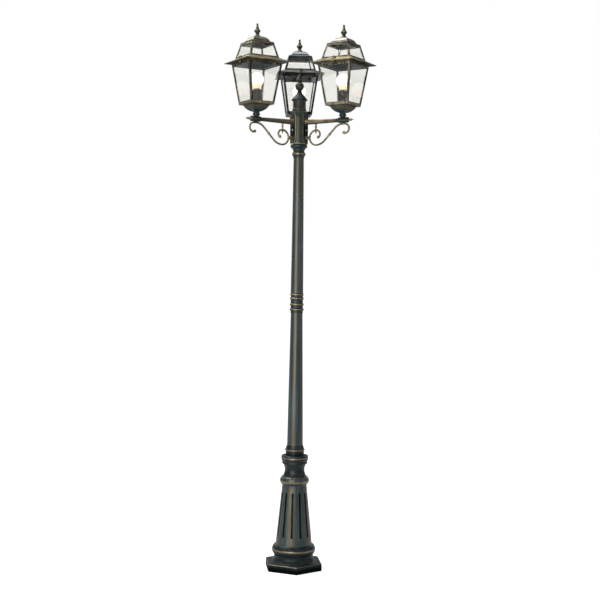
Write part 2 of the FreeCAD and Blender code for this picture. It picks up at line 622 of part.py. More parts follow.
def hub():
    """Hollow casting with a floor, three arm pads and three pilasters."""
    core = rod(HUB_CORE_RADIUS, HUB_BASE, HUB_TOP)
    pad_low = ARM_LEVEL - ARM_PLATE_DROP
    pad_height = ARM_PLATE_DROP + ARM_PLATE_RISE
    pad = Part.makeBox(ARM_PAD_DISTANCE, ARM_PLATE_WIDTH, pad_height,
                       FreeCAD.Vector(0, -ARM_PLATE_WIDTH / 2, pad_low))
    panel = pilaster()
    pieces = []
    for name, direction, nut_turn, lantern_turn in ARMS:
        pieces.append(turned_about(pad, direction))
        pieces.append(turned_about(panel, direction + 180))
    body = join_all(core, pieces)
    hollow = rod(HUB_BORE_RADIUS, HUB_BASE + HUB_FLOOR, HUB_TOP + OVERCUT)
    rod_hole = rod(ROD_RADIUS + SEAT_GAP, HUB_BASE - OVERCUT, HUB_BASE + HUB_FLOOR + OVERCUT)
    cable_hole = rod(CABLE_PASS_RADIUS, HUB_BASE - OVERCUT, HUB_BASE + HUB_FLOOR + OVERCUT)
    cable_hole.translate(ALONG_Y * -CABLE_PASS_OFFSET)
    holes = [hollow, rod_hole, cable_hole]
    for name, direction, nut_turn, lantern_turn in ARMS:
        holes.append(turned_about(screw_shape(SCREW_SHANK_RADIUS + SEAT_GAP, 0), direction))
    return cut_all(body, holes)


def hub_sleeve():
    """Round sleeve with a ring round its foot."""
    ring_top = HUB_TOP + SLEEVE_RING_HEIGHT
    bore = SLEEVE_RADIUS - SLEEVE_WALL
    return turned([(bore, HUB_TOP), (SLEEVE_RING_RADIUS - EDGE_BREAK, HUB_TOP),
                   (SLEEVE_RING_RADIUS, HUB_TOP + EDGE_BREAK),
                   (SLEEVE_RING_RADIUS, ring_top - 2 * EDGE_BREAK), (SLEEVE_RADIUS, ring_top),
                   (SLEEVE_RADIUS, SLEEVE_TOP), (bore, SLEEVE_TOP)])


def hub_roof():
    """Conical cap with an overhanging eave, drawn in to the neck that carries the ball."""
    slope_top = SLEEVE_TOP + CAP_SLOPE_HEIGHT
    inside = SLEEVE_RADIUS - SLEEVE_WALL - SEAT_GAP
    hole = ROD_RADIUS + SEAT_GAP
    return turned([(inside, SLEEVE_TOP - CASTING_WALL), (inside, SLEEVE_TOP),
                   (EAVE_RADIUS, SLEEVE_TOP), (EAVE_RADIUS, SLEEVE_TOP + EAVE_THICKNESS)] +
                  rounded((CAP_SLOPE_RADIUS, slope_top),
                          (share(CAP_SLOPE_RADIUS, CAP_NECK_RADIUS, 0.75), share(slope_top, CAP_TOP, 0.5)),
                          (CAP_NECK_RADIUS, CAP_TOP), 3) +
                  [(hole, CAP_TOP), (hole, slope_top - CAP_WALL),
                   (CAP_SLOPE_RADIUS - CAP_WALL, slope_top - 2 * CAP_WALL),
                   (inside - CAP_WALL, SLEEVE_TOP), (inside - CAP_WALL, SLEEVE_TOP - CASTING_WALL)])


def hub_finial():
    """Ball with a small spear above it, bored from below for the end of the tie rod."""
    centre = CAP_TOP + math.sqrt(BALL_RADIUS ** 2 - BALL_NECK_RADIUS ** 2)
    ball_top = centre + math.sqrt(BALL_RADIUS ** 2 - BALL_NECK_RADIUS ** 2)
    bore = ROD_RADIUS + SEAT_GAP
    rod_end = centre + SEAT_GAP
    collar = ball_top + SPEAR_COLLAR_RISE
    tip = ball_top + SPEAR_HEIGHT
    ball = rounded((BALL_NECK_RADIUS, CAP_TOP), (BALL_RADIUS, centre), (BALL_NECK_RADIUS, ball_top), 10)
    return turned([(0, rod_end), (bore, rod_end), (bore, CAP_TOP)] + ball +
                  [(SPEAR_COLLAR_RADIUS, collar), (SPEAR_COLLAR_RADIUS, collar + SPEAR_COLLAR_EDGE),
                   (SPEAR_TIP_RADIUS, tip), (0, tip)])


def tie_rod():
    """Rod from the recess in the foot to the ball, which is its upper nut."""
    ball_centre = CAP_TOP + math.sqrt(BALL_RADIUS ** 2 - BALL_NECK_RADIUS ** 2)
    return rod(ROD_RADIUS, ROD_FOOT_RECESS - WASHER_THICKNESS - NUT_HEIGHT - ROD_PROUD, ball_centre)


def tie_nuts():
    """Washer and hexagon nut in the foot's recess."""
    top = ROD_FOOT_RECESS
    hole = rod(ROD_RADIUS + SEAT_GAP, 0, PLATE_THICKNESS)
    washer = rod(WASHER_RADIUS, top - WASHER_THICKNESS, top).cut(hole)
    corners = []
    for step in range(7):
        angle = math.radians(step * 60)
        corners.append(FreeCAD.Vector(NUT_ACROSS_CORNERS / 2 * math.cos(angle),
                                      NUT_ACROSS_CORNERS / 2 * math.sin(angle), 0))
    nut = Part.Face(Part.makePolygon(corners)).extrude(UP * NUT_HEIGHT)
    nut.translate(UP * (top - WASHER_THICKNESS - NUT_HEIGHT))
    return Part.makeCompound([washer, nut.cut(hole)])


def terminal_block():
    """Supply terminals on the hub's floor, beside the rod."""
    corner = FreeCAD.Vector(-TERMINAL_LENGTH / 2, ROD_RADIUS + TERMINAL_CLEARANCE, HUB_BASE + HUB_FLOOR)
    block = Part.makeBox(TERMINAL_LENGTH, TERMINAL_WIDTH, TERMINAL_HEIGHT, corner)
    pitch = TERMINAL_LENGTH / 3
    wells = []
    for number in range(3):
        place = corner + FreeCAD.Vector(pitch * number + (pitch - TERMINAL_WELL) / 2,
                                        (TERMINAL_WIDTH - TERMINAL_WELL) / 2, TERMINAL_HEIGHT - TERMINAL_WELL)
        wells.append(Part.makeBox(TERMINAL_WELL, TERMINAL_WELL, TERMINAL_WELL + OVERCUT, place))
    return cut_all(block, wells)


# --- arms, drawn along +X at their own level --------------------------------------------------------------
def screw_shape(shank_radius, head_height):
    """Screw along +X through an arm plate, or its hole where the head height is nought."""
    level = ARM_LEVEL - SCREW_DROP
    plate_face = ARM_PAD_DISTANCE + ARM_PLATE_THICKNESS
    start = HUB_BORE_RADIUS - OVERCUT
    length = plate_face - start
    if head_height == 0:
        length += OVERCUT
    shank = Part.makeCylinder(shank_radius, length, FreeCAD.Vector(start, 0, level), ALONG_X)
    if head_height == 0:
        return shank
    head = Part.makeCone(SCREW_HEAD_RADIUS, SCREW_HEAD_RADIUS * 0.6, head_height,
                         FreeCAD.Vector(plate_face, 0, level), ALONG_X)
    return shank.fuse(head).removeSplitter()


def arm_section(x, height, width):
    """Eight-sided section of the arm at the distance x."""
    chamfer = ARM_EDGE_CHAMFER * min(height, width)
    half_h = height / 2
    half_w = width / 2
    corners = [(half_w, half_h - chamfer), (half_w - chamfer, half_h), (-half_w + chamfer, half_h),
               (-half_w, half_h - chamfer), (-half_w, -half_h + chamfer), (-half_w + chamfer, -half_h),
               (half_w - chamfer, -half_h), (half_w, -half_h + chamfer)]
    corners.append(corners[0])
    return Part.makePolygon([FreeCAD.Vector(x, y, ARM_LEVEL + z) for y, z in corners])


def arm():
    """Root plate, tapered beam and the tee that carries the lantern."""
    plate_face = ARM_PAD_DISTANCE + ARM_PLATE_THICKNESS
    tee_start = ARM_REACH - TEE_INNER_LENGTH
    plate = Part.makeBox(ARM_PLATE_THICKNESS, ARM_PLATE_WIDTH, ARM_PLATE_DROP + ARM_PLATE_RISE,
                         FreeCAD.Vector(ARM_PAD_DISTANCE, -ARM_PLATE_WIDTH / 2, ARM_LEVEL - ARM_PLATE_DROP))
    sections = [arm_section(ARM_PAD_DISTANCE + 1, ARM_ROOT_HEIGHT, ARM_ROOT_WIDTH),
                arm_section(tee_start + 1, ARM_END_HEIGHT, ARM_END_WIDTH)]
    beam = Part.makeLoft(sections, True, True)
    swollen = arm_section(plate_face - 1, ARM_ROOT_HEIGHT + ROOT_SWELL, ARM_ROOT_WIDTH + ROOT_SWELL)
    drawn_in = arm_section(plate_face + ROOT_SWELL_LENGTH, ARM_ROOT_HEIGHT + 1, ARM_ROOT_WIDTH + 1)
    collar = Part.makeLoft([swollen, drawn_in], True, True)
    half = TEE_RADIUS
    tee_end = ARM_REACH + TEE_OUTER_LENGTH
    tee = turned([(0, tee_start), (half - EDGE_BREAK, tee_start), (half, tee_start + EDGE_BREAK),
                  (half, tee_end - 2 * EDGE_BREAK), (half - 2 * EDGE_BREAK, tee_end), (0, tee_end)])
    tee.rotate(ORIGIN, ALONG_Y, 90)
    tee.translate(UP * ARM_LEVEL)
    body = join_all(plate, [beam, collar, tee])
    flat = ARM_LEVEL + TEE_FLAT_HEIGHT
    spot = rod(SEAT_NECK_RADIUS + SEAT_GAP, flat, ARM_LEVEL + 2 * TEE_RADIUS, ARM_REACH)
    hole = screw_shape(SCREW_SHANK_RADIUS + SEAT_GAP, 0)
    return cut_all(body, [spot, hole])


def place_on_arm(reach, drop):
    """Point in the plane of the arm."""
    return FreeCAD.Vector(reach, 0, ARM_LEVEL - drop)


def arc_by_angles(centre, radius, start, end):
    """Arc in the plane of the arm about a (reach, drop) centre; angles in degrees upwards from +X."""
    places = []
    for part in (0.0, 0.5, 1.0):
        angle = math.radians(share(start, end, part))
        reach = centre[0] + radius * math.cos(angle)
        places.append(place_on_arm(reach, centre[1] - radius * math.sin(angle)))
    return Part.Arc(places[0], places[1], places[2]).toShape(), places[0], places[2]


def scroll_path():
    """Edges of the scroll's centre line from eye to eye, with its two ends and straight bar."""
    loop_top = LOOP_DROP - LOOP_RADIUS
    inner_centre = (LOOP_REACH, loop_top + INNER_CURL_RADIUS)
    loop_centre = (LOOP_REACH, LOOP_DROP)
    bottom = LOOP_DROP + LOOP_RADIUS
    lower_centre = (LOOP_REACH, bottom - LOWER_BEND_RADIUS)
    crest = TEE_RADIUS + SEAT_GAP + SCROLL_THICKNESS / 2
    upper_centre = (TEE_CONTACT_REACH, crest + UPPER_BEND_RADIUS)
    outer_centre = (OUTER_CURL_REACH, crest + OUTER_CURL_RADIUS)
    across = upper_centre[0] - lower_centre[0]
    down = upper_centre[1] - lower_centre[1]
    span = math.hypot(across, down)
    bends = math.asin((LOWER_BEND_RADIUS + UPPER_BEND_RADIUS) / span)
    incline = math.degrees(bends - math.atan2(down, across))
    inner, inner_end, loop_start = arc_by_angles(inner_centre, INNER_CURL_RADIUS, 90 - INNER_CURL_SWEEP, 90)
    loop_up, same, leftmost = arc_by_angles(loop_centre, LOOP_RADIUS, 90, 180)
    loop_down, same, lowest = arc_by_angles(loop_centre, LOOP_RADIUS, 180, 270)
    lower, same, bar_start = arc_by_angles(lower_centre, LOWER_BEND_RADIUS, 270, 270 + incline)
    upper, bar_end, contact = arc_by_angles(upper_centre, UPPER_BEND_RADIUS, 90 + incline, 90)
    outer, curl_start, outer_end = arc_by_angles(outer_centre, OUTER_CURL_RADIUS, 90, 90 - OUTER_CURL_SWEEP)
    bar = Part.makeLine(bar_start, bar_end)
    level = Part.makeLine(contact, curl_start)
    edges = [inner, loop_up, loop_down, lower, bar, upper, level, outer]
    return edges, (inner_end, inner_centre), (outer_end, outer_centre), (bar_start, bar_end)


def curl_eye(end, centre):
    """Swollen round eye on the end of a curl, drawn in towards the curl's centre."""
    middle = place_on_arm(centre[0], centre[1])
    inward = (middle - end).normalize() * (EYE_RADIUS - SCROLL_THICKNESS / 2)
    half = EYE_THICKNESS / 2
    eye = faceted([(EYE_RADIUS * 0.6, -half), (EYE_RADIUS, -half / 3), (EYE_RADIUS, half / 3),
                   (EYE_RADIUS * 0.6, half)], EYE_SIDES)
    eye.rotate(ORIGIN, ALONG_X, 90)
    eye.translate(end + inward)
    return eye


def scroll():
    """S-scroll bracket: bar with two curls and eyes, knuckle, hanger, leaf and the lug against the hub."""
    edges, inner, outer, bar = scroll_path()
    start = inner[0]
    tangent = edges[0].tangentAt(edges[0].FirstParameter)
    facets = TRIM_SIDES
    radius = SCROLL_THICKNESS / 2 / math.cos(math.pi / facets)
    side = ALONG_Y
    normal = tangent.cross(side)
    corners = []
    for number in range(facets + 1):
        angle = 2 * math.pi * (number + 0.5) / facets
        corners.append(start + side * (radius * math.cos(angle)) + normal * (radius * math.sin(angle)))
    section = Part.makePolygon(corners)
    sweep = Part.BRepOffsetAPI.MakePipeShell(Part.Wire(edges))
    sweep.setFrenetMode(True)
    sweep.add(section)
    sweep.build()
    sweep.makeSolid()
    body = sweep.shape()
    extras = [curl_eye(*inner), curl_eye(*outer)]
    bar_line = bar[1] - bar[0]
    reach = KNUCKLE_LENGTH / 2
    knuckle = faceted([(radius, -reach), (KNUCKLE_SIZE / 2, -0.4 * reach), (KNUCKLE_SIZE / 2, 0.4 * reach),
                       (radius, reach)], facets)
    knuckle.rotate(ORIGIN, ALONG_Y, math.degrees(math.atan2(bar_line.x, bar_line.z)))
    knuckle.translate((bar[0] + bar[1]) * 0.5)
    extras.append(knuckle)
    extras += hanger_and_leaf()
    lug_reach = HUB_CORE_RADIUS + SEAT_GAP
    lug_end = LOOP_REACH - LOOP_RADIUS
    lug_corner = FreeCAD.Vector(lug_reach, -SCROLL_THICKNESS / 2, ARM_LEVEL - LOOP_DROP - LUG_HEIGHT / 2)
    extras.append(Part.makeBox(lug_end - lug_reach, SCROLL_THICKNESS, LUG_HEIGHT, lug_corner))
    return join_all(body, extras)


def hanger_and_leaf():
    """Beaded hanger from the beam down to the loop, and the small leaf under the loop's top."""
    part_way = (HANGER_REACH - ARM_PAD_DISTANCE) / (ARM_REACH - TEE_INNER_LENGTH - ARM_PAD_DISTANCE)
    beam_drop = share(ARM_ROOT_HEIGHT, ARM_END_HEIGHT, part_way) / 2
    slack = (HANGER_BEAD_RADIUS * abs(ARM_ROOT_HEIGHT - ARM_END_HEIGHT) / 2
             / (ARM_REACH - TEE_INNER_LENGTH - ARM_PAD_DISTANCE))
    top = ARM_LEVEL - beam_drop - SEAT_GAP - slack
    loop_top = ARM_LEVEL - LOOP_DROP + LOOP_RADIUS
    height = top - loop_top
    spool = faceted([(HANGER_RADIUS, loop_top), (HANGER_RADIUS, loop_top + 0.35 * height),
                     (HANGER_BEAD_RADIUS, loop_top + 0.5 * height), (HANGER_RADIUS, loop_top + 0.65 * height),
                     (HANGER_RADIUS, loop_top + 0.8 * height), (HANGER_BEAD_RADIUS, top - 1.5),
                     (HANGER_BEAD_RADIUS, top)], TRIM_SIDES)
    leaf_top = loop_top - SCROLL_THICKNESS / 4
    leaf = faceted([(LEAF_RADIUS * 0.6, leaf_top), (LEAF_RADIUS, leaf_top - LEAF_LENGTH * 0.45),
                    (LEAF_RADIUS * 0.1, leaf_top - LEAF_LENGTH)], TRIM_SIDES)
    for piece in (spool, leaf):
        piece.translate(ALONG_X * HANGER_REACH)
    return [spool, leaf]


def arm_tip():
    """Small spear that closes the end of the tee: a foot, a swelling and a long point."""
    spear = faceted([(TIP_BALL_RADIUS, 0), (TIP_NECK_RADIUS, 0.16 * TIP_LENGTH),
                     (TIP_BALL_RADIUS, 0.36 * TIP_LENGTH), (TIP_BALL_RADIUS, 0.5 * TIP_LENGTH),
                     (TIP_NECK_RADIUS, 0.67 * TIP_LENGTH), (TIP_POINT_RADIUS, TIP_LENGTH)], TRIM_SIDES)
    spear.rotate(ORIGIN, ALONG_Y, 90)
    spear.translate(FreeCAD.Vector(ARM_REACH + TEE_OUTER_LENGTH, 0, ARM_LEVEL))
    return spear


# --- lantern, drawn about its own axis with the arm's axis at height nought -------------------------------
def lantern_seat():
    """Turned neck between the tee and the bowl."""
    return turned([(0, TEE_FLAT_HEIGHT), (SEAT_NECK_RADIUS, TEE_FLAT_HEIGHT),
                   (SEAT_NECK_RADIUS, SEAT_RING_LOW - EDGE_BREAK), (SEAT_RING_RADIUS, SEAT_RING_LOW),
                   (SEAT_RING_RADIUS, SEAT_RING_HIGH - EDGE_BREAK),
                   (SEAT_RING_RADIUS - EDGE_BREAK, SEAT_RING_HIGH),
                   (BOWL_FOOT_HALF - 1, BOWL_BOTTOM), (0, BOWL_BOTTOM)])


def bowl():
    """Square dish with swelling sides, hollow above."""
    swell = share(BOWL_FOOT_HALF, BOWL_HALF, BOWL_SWELL_SHARE)
    level = share(BOWL_BOTTOM, BODY_BOTTOM, BOWL_SWELL_HEIGHT)
    outer = square_plan([(BOWL_FOOT_HALF, BOWL_BOTTOM), ((swell, level), (BOWL_HALF, BODY_BOTTOM - 2)),
                         (BOWL_HALF, BODY_BOTTOM)])
    inner = square_plan([(BOWL_FOOT_HALF - BOWL_WALL, BOWL_BOTTOM + BOWL_WALL),
                         ((swell - BOWL_WALL, level + BOWL_WALL), (BOWL_HALF - BOWL_WALL, BODY_BOTTOM))])
    return outer.cut(inner)


def body_half(height):
    """Half side of the lantern body at a height."""
    return share(BODY_BOTTOM_HALF, BODY_TOP_HALF, (height - BODY_BOTTOM) / BODY_HEIGHT)


def cage(nut_turn):
    """Floor, four corner posts, top frame, and the two lugs with studs that hold the roof."""
    outer = square_plan([(BODY_BOTTOM_HALF, BODY_BOTTOM), (BODY_TOP_HALF, BODY_TOP)])
    under_flange = BODY_TOP - TOP_FLANGE_THICKNESS
    inner = square_plan([(body_half(FLOOR_TOP) - FRAME_WALL, FLOOR_TOP),
                         (body_half(under_flange) - FRAME_WALL, under_flange)])
    mouth = square_plan([(TOP_FLANGE_HALF, under_flange - OVERCUT), (TOP_FLANGE_HALF, BODY_TOP + OVERCUT)])
    window_low = BODY_BOTTOM + BOTTOM_BAND
    window_high = BODY_TOP - TOP_BAND
    windows = crossed_windows(body_half(window_low) - POST_WIDTH, window_low,
                              body_half(window_high) - POST_WIDTH, window_high, BODY_TOP_HALF + OVERCUT)
    body = cut_all(outer, [inner, mouth] + list(windows))
    stud_top = pad_top() + THUMB_NUT_BORE_DEPTH
    fixings = []
    for sign in (1, -1):
        lug = rod(BOSS_RADIUS, under_flange, BODY_TOP, sign * NUT_DISTANCE)
        web = Part.makeBox(NUT_DISTANCE - body_half(under_flange) + FRAME_WALL, 2 * BOSS_RADIUS,
                           TOP_FLANGE_THICKNESS,
                           FreeCAD.Vector(body_half(under_flange) - FRAME_WALL, -BOSS_RADIUS, under_flange))
        if sign < 0:
            web.rotate(ORIGIN, UP, 180)
        fixings += [lug, web, rod(STUD_RADIUS, BODY_TOP - 1, stud_top, sign * NUT_DISTANCE)]
    fixings = [turned_about(piece, nut_turn) for piece in fixings]
    return join_all(body, fixings)


def four_panes(half_low, low, half_high, high):
    """Four sloping panes whose outer faces follow the given half sides."""
    outer = square_plan([(half_low, low), (half_high, high)])
    inner = square_plan([(half_low - PANE_THICKNESS, low), (half_high - PANE_THICKNESS, high)])
    walls = outer.cut(inner)
    reach = max(half_low, half_high) + OVERCUT
    pairs = crossed_windows(half_low - PANE_SIDE_INSET, low, half_high - PANE_SIDE_INSET, high, reach)
    panes = []
    for pair in pairs:
        panes += walls.common(pair).Solids
    return Part.makeCompound(panes)


def body_panes():
    """Glass of the body, standing on the floor of the cage and leaning on its posts."""
    low = FLOOR_TOP + SEAT_GAP
    high = BODY_TOP - TOP_FLANGE_THICKNESS - SEAT_GAP
    inside = FRAME_WALL + SEAT_GAP
    return four_panes(body_half(low) - inside, low, body_half(high) - inside, high)


def skirt_half(height):
    """Half side of the raked skirt of the roof at a height."""
    return share(SKIRT_HALF, SKIRT_TOP_HALF, (height - SKIRT_FOOT) / SKIRT_HEIGHT)


def brim_edge_low():
    """Underside of the brim's edge."""
    return BODY_TOP + BRIM_EDGE_RISE


def pad_top():
    """Flat top of the pad that a thumb nut sits on: level with the brim under its inner side."""
    edge_top = brim_edge_low() + BRIM_THICKNESS
    part_way = (BRIM_HALF - (NUT_DISTANCE - PAD_RADIUS)) / (BRIM_HALF - SKIRT_HALF)
    return share(edge_top, SKIRT_FOOT, part_way) + PAD_PROUD


def roof_frame(nut_turn):
    """Brim, curb, four raked bars, top ring and the two bosses for the studs, in one casting."""
    seat = BODY_TOP + SEAT_GAP
    edge_low = brim_edge_low()
    edge_top = edge_low + BRIM_THICKNESS
    under_lip = SKIRT_TOP - SKIRT_WALL
    shell = square_plan([(SKIRT_HALF, seat), (SKIRT_HALF, SKIRT_FOOT), (SKIRT_TOP_HALF, SKIRT_TOP)])
    brim = square_plan([(BRIM_HALF, edge_low), (BRIM_HALF, edge_top), (SKIRT_HALF, SKIRT_FOOT)])
    under_brim = square_plan([(BRIM_HALF - BRIM_THICKNESS, edge_low - OVERCUT),
                              (BRIM_HALF - BRIM_THICKNESS, edge_low),
                              (SKIRT_HALF - BRIM_THICKNESS, SKIRT_FOOT - BRIM_THICKNESS)])
    brim = brim.cut(under_brim)
    bosses = []
    for sign in (1, -1):
        bosses.append(rod(BOSS_RADIUS, seat, pad_top(), sign * NUT_DISTANCE))
        bosses.append(rod(PAD_RADIUS, pad_top() - PAD_HEIGHT, pad_top(), sign * NUT_DISTANCE))
    bosses = [turned_about(piece, nut_turn) for piece in bosses]
    inside = SKIRT_HALF - SKIRT_WALL
    ledge_low = SKIRT_FOOT - SKIRT_WALL
    curb_hollow = square_plan([(inside, seat - OVERCUT), (inside, ledge_low)])
    ledge_hollow = square_plan([(inside - PANE_LEDGE, seat), (inside - PANE_LEDGE, SKIRT_FOOT + OVERCUT)])
    skirt_hollow = square_plan([(inside, SKIRT_FOOT), (skirt_half(under_lip) - SKIRT_WALL, under_lip)])
    lip = SKIRT_TOP_HALF - TOP_LIP
    lip_hollow = square_plan([(lip, under_lip - OVERCUT), (lip, SKIRT_TOP + OVERCUT)])
    window_low = SKIRT_FOOT + SKIRT_BOTTOM_RAIL
    window_high = SKIRT_TOP - SKIRT_TOP_RAIL
    windows = crossed_windows(skirt_half(window_low) - SKIRT_BAR_WIDTH, window_low,
                              skirt_half(window_high) - SKIRT_BAR_WIDTH, window_high, SKIRT_HALF)
    body = join_all(shell, [brim] + bosses)
    body = cut_all(body, [curb_hollow, ledge_hollow, skirt_hollow, lip_hollow] + list(windows))
    hole_radius = STUD_RADIUS + STUD_HOLE_CLEARANCE
    holes = []
    for sign in (1, -1):
        hole = rod(hole_radius, seat - OVERCUT, pad_top() + OVERCUT, sign * NUT_DISTANCE)
        holes.append(turned_about(hole, nut_turn))
    return cut_all(body, holes)


def roof_panes():
    """Glass of the roof, standing on the ledge of the brim inside the raked bars."""
    low = SKIRT_FOOT + SEAT_GAP
    high = SKIRT_TOP - SKIRT_WALL - SEAT_GAP
    inside = SKIRT_WALL + SEAT_GAP
    return four_panes(skirt_half(low) - inside, low, skirt_half(high) - inside, high)


def dome_side(inset):
    """Side of the dome, drawn in by an inset."""
    foot = SKIRT_TOP + DOME_FOOT_RISE - inset
    crown = DOME_CROWN - inset
    swell = (share(DOME_CROWN_HALF, DOME_FOOT_HALF, DOME_SWELL_SHARE) - inset,
             share(foot, crown, DOME_SWELL_HEIGHT))
    return [(SKIRT_TOP_HALF - inset, SKIRT_TOP + DOME_EDGE - inset),
            (DOME_FOOT_HALF - inset, foot), (swell, (DOME_CROWN_HALF - inset, crown))]


def dome():
    """Square cap: a shallow pyramid that swells into a dome, hollow below, with the hole for the finial."""
    outer = square_plan([(SKIRT_TOP_HALF, SKIRT_TOP)] + dome_side(0))
    hollow = square_plan([(SKIRT_TOP_HALF - DOME_WALL, SKIRT_TOP - OVERCUT)] + dome_side(DOME_WALL))
    hole = rod(FINIAL_STUD_RADIUS + SEAT_GAP, SKIRT_TOP, DOME_CROWN + OVERCUT)
    return cut_all(outer, [hollow, hole])


def finial():
    """Turned finial with the stud that passes through the dome."""
    top = DOME_CROWN + FINIAL_HEIGHT
    neck = DOME_CROWN + FINIAL_FOOT_HEIGHT
    collar = DOME_CROWN + FINIAL_COLLAR_HEIGHT
    half_edge = FINIAL_COLLAR_EDGE / 2
    stud_low = DOME_CROWN - FINIAL_STUD_LENGTH
    return turned([(0, stud_low), (FINIAL_STUD_RADIUS, stud_low), (FINIAL_STUD_RADIUS, DOME_CROWN),
                   (FINIAL_FOOT_RADIUS, DOME_CROWN),
                   (share(FINIAL_FOOT_RADIUS, FINIAL_NECK_RADIUS, 0.6), share(DOME_CROWN, neck, 0.45)),
                   (FINIAL_NECK_RADIUS, neck), (FINIAL_COLLAR_RADIUS, collar - half_edge),
                   (FINIAL_COLLAR_RADIUS, collar + half_edge),
                   (FINIAL_CONE_RADIUS, collar + 2 * FINIAL_COLLAR_EDGE),
                   (FINIAL_TIP_RADIUS - 0.8, top - FINIAL_TIP_LENGTH),
                   (FINIAL_TIP_RADIUS, top - FINIAL_TIP_LENGTH / 2),
                   (FINIAL_TIP_RADIUS - 1.2, top), (0, top)])


def thumb_nut(sign, nut_turn):
    """Domed nut, blind bored to turn on its stud."""
    base = pad_top() + SEAT_GAP
    bore = STUD_RADIUS + RUNNING_GAP
    nut = turned([(bore, base), (THUMB_NUT_RADIUS, base), (THUMB_NUT_RADIUS, base + THUMB_NUT_EDGE),
                  (THUMB_NUT_RADIUS * 0.5, base + THUMB_NUT_HEIGHT), (0, base + THUMB_NUT_HEIGHT),
                  (0, base + THUMB_NUT_BORE_DEPTH), (bore, base + THUMB_NUT_BORE_DEPTH)])
    nut.translate(ALONG_X * (sign * NUT_DISTANCE))
    return turned_about(nut, nut_turn)


def lampholder():
    """Holder standing on the lantern's floor: foot, skirt and the bore for the lamp's cap."""
    base = FLOOR_TOP
    top = base + HOLDER_HEIGHT
    bore = CAP_SHELL_RADIUS + SEAT_GAP
    depth = CAP_SHELL_LENGTH + CAP_CONTACT_LENGTH - CAP_PROUD + SEAT_GAP
    mouth = HOLDER_RADIUS - HOLDER_WALL
    foot_top = base + HOLDER_FOOT_HEIGHT
    return turned([(0, base), (HOLDER_FOOT_RADIUS, base), (HOLDER_FOOT_RADIUS, foot_top),
                   (HOLDER_RADIUS, foot_top + EDGE_BREAK), (HOLDER_RADIUS, top),
                   (mouth, top), (mouth, top - HOLDER_LIP), (bore, top - HOLDER_LIP),
                   (bore, top - depth), (0, top - depth)])


def bulb():
    """Lamp with its cap: contact, shell, neck and globe."""
    holder_top = FLOOR_TOP + HOLDER_HEIGHT
    shell_top = holder_top + CAP_PROUD
    shell_low = shell_top - CAP_SHELL_LENGTH
    tip = shell_low - CAP_CONTACT_LENGTH
    centre = shell_top + BULB_LENGTH - BULB_RADIUS
    lean = math.radians(BULB_GLOBE_LEAN)
    joint = (BULB_RADIUS * math.cos(lean), centre - BULB_RADIUS * math.sin(lean))
    globe = rounded(joint, (BULB_RADIUS * math.cos(lean / 2), centre + BULB_RADIUS * math.sin(lean / 2)),
                    (0, centre + BULB_RADIUS), 9)
    return turned([(0, tip), (CAP_CONTACT_RADIUS, tip), (CAP_SHELL_RADIUS - 3, shell_low),
                   (CAP_SHELL_RADIUS, shell_low + 1), (CAP_SHELL_RADIUS, shell_top),
                   (BULB_NECK_RADIUS, shell_top + BULB_SHOULDER)] + globe)


def lantern_parts(nut_turn):
    """Each piece of one lantern by name."""
    return {"lantern_seat": lantern_seat(), "bowl": bowl(), "cage": cage(nut_turn),
            "body_panes": body_panes(), "roof_frame": roof_frame(nut_turn), "roof_panes": roof_panes(),
            "dome": dome(), "finial": finial(),
            "thumb_nut_a": thumb_nut(1, nut_turn), "thumb_nut_b": thumb_nut(-1, nut_turn),
            "lampholder": lampholder(), "bulb": bulb()}


def arm_parts():
    """Each piece of one arm by name."""
    return {"arm": arm(), "scroll": scroll(), "arm_tip": arm_tip()}


def post_parts():
    """Each piece of the post by name."""
    screws = [turned_about(screw_shape(SCREW_SHANK_RADIUS, SCREW_HEAD_HEIGHT), direction)
              for name, direction, nut_turn, lantern_turn in ARMS]
    return {"foot": foot(), "pedestal": pedestal(), "pedestal_neck": pedestal_neck(),
            "lower_column": column(NECK_TOP, LOWER_COLUMN_LENGTH, LOWER_COLUMN_BASE_RADIUS,
                                   LOWER_COLUMN_TOP_RADIUS),
            "mid_collar": mid_collar(),
            "upper_column": column(MID_COLLAR_TOP, UPPER_COLUMN_LENGTH, UPPER_COLUMN_BASE_RADIUS,
                                   UPPER_COLUMN_TOP_RADIUS),
            "top_collar": top_collar(), "hub": hub(), "hub_sleeve": hub_sleeve(), "hub_roof": hub_roof(),
            "hub_finial": hub_finial(), "tie_rod": tie_rod(), "tie_nuts": tie_nuts(),
            "terminal_block": terminal_block(), "arm_screws": Part.makeCompound(screws)}


def all_parts():
    """Every piece in its place, by node name."""
    parts = post_parts()
    arm_pieces = arm_parts()
    lanterns = {}
    for name, direction, nut_turn, lantern_turn in ARMS:
        if nut_turn not in lanterns:
            lanterns[nut_turn] = lantern_parts(nut_turn)
        for piece, shape in arm_pieces.items():
            parts[name + "_" + piece] = turned_about(shape, direction)
        for piece, shape in lanterns[nut_turn].items():
            copy = turned_about(shape, lantern_turn)
            copy.translate(FreeCAD.Vector(ARM_REACH, 0, ARM_LEVEL))
            parts[name + "_" + piece] = turned_about(copy, direction)
    return parts


def main():
    """Write one STEP file per piece."""
    os.makedirs("parts", exist_ok=True)
    for name, shape in all_parts().items():
        shape.exportStep("parts/" + name + ".step")


main()
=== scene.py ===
"""Looks of a triple head lamp post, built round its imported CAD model."""
import logging
import math
from collections.abc import Callable
from dataclasses import dataclass, replace
from enum import Enum
from functools import cache, partial

import bpy
from mathutils import Matrix, Vector


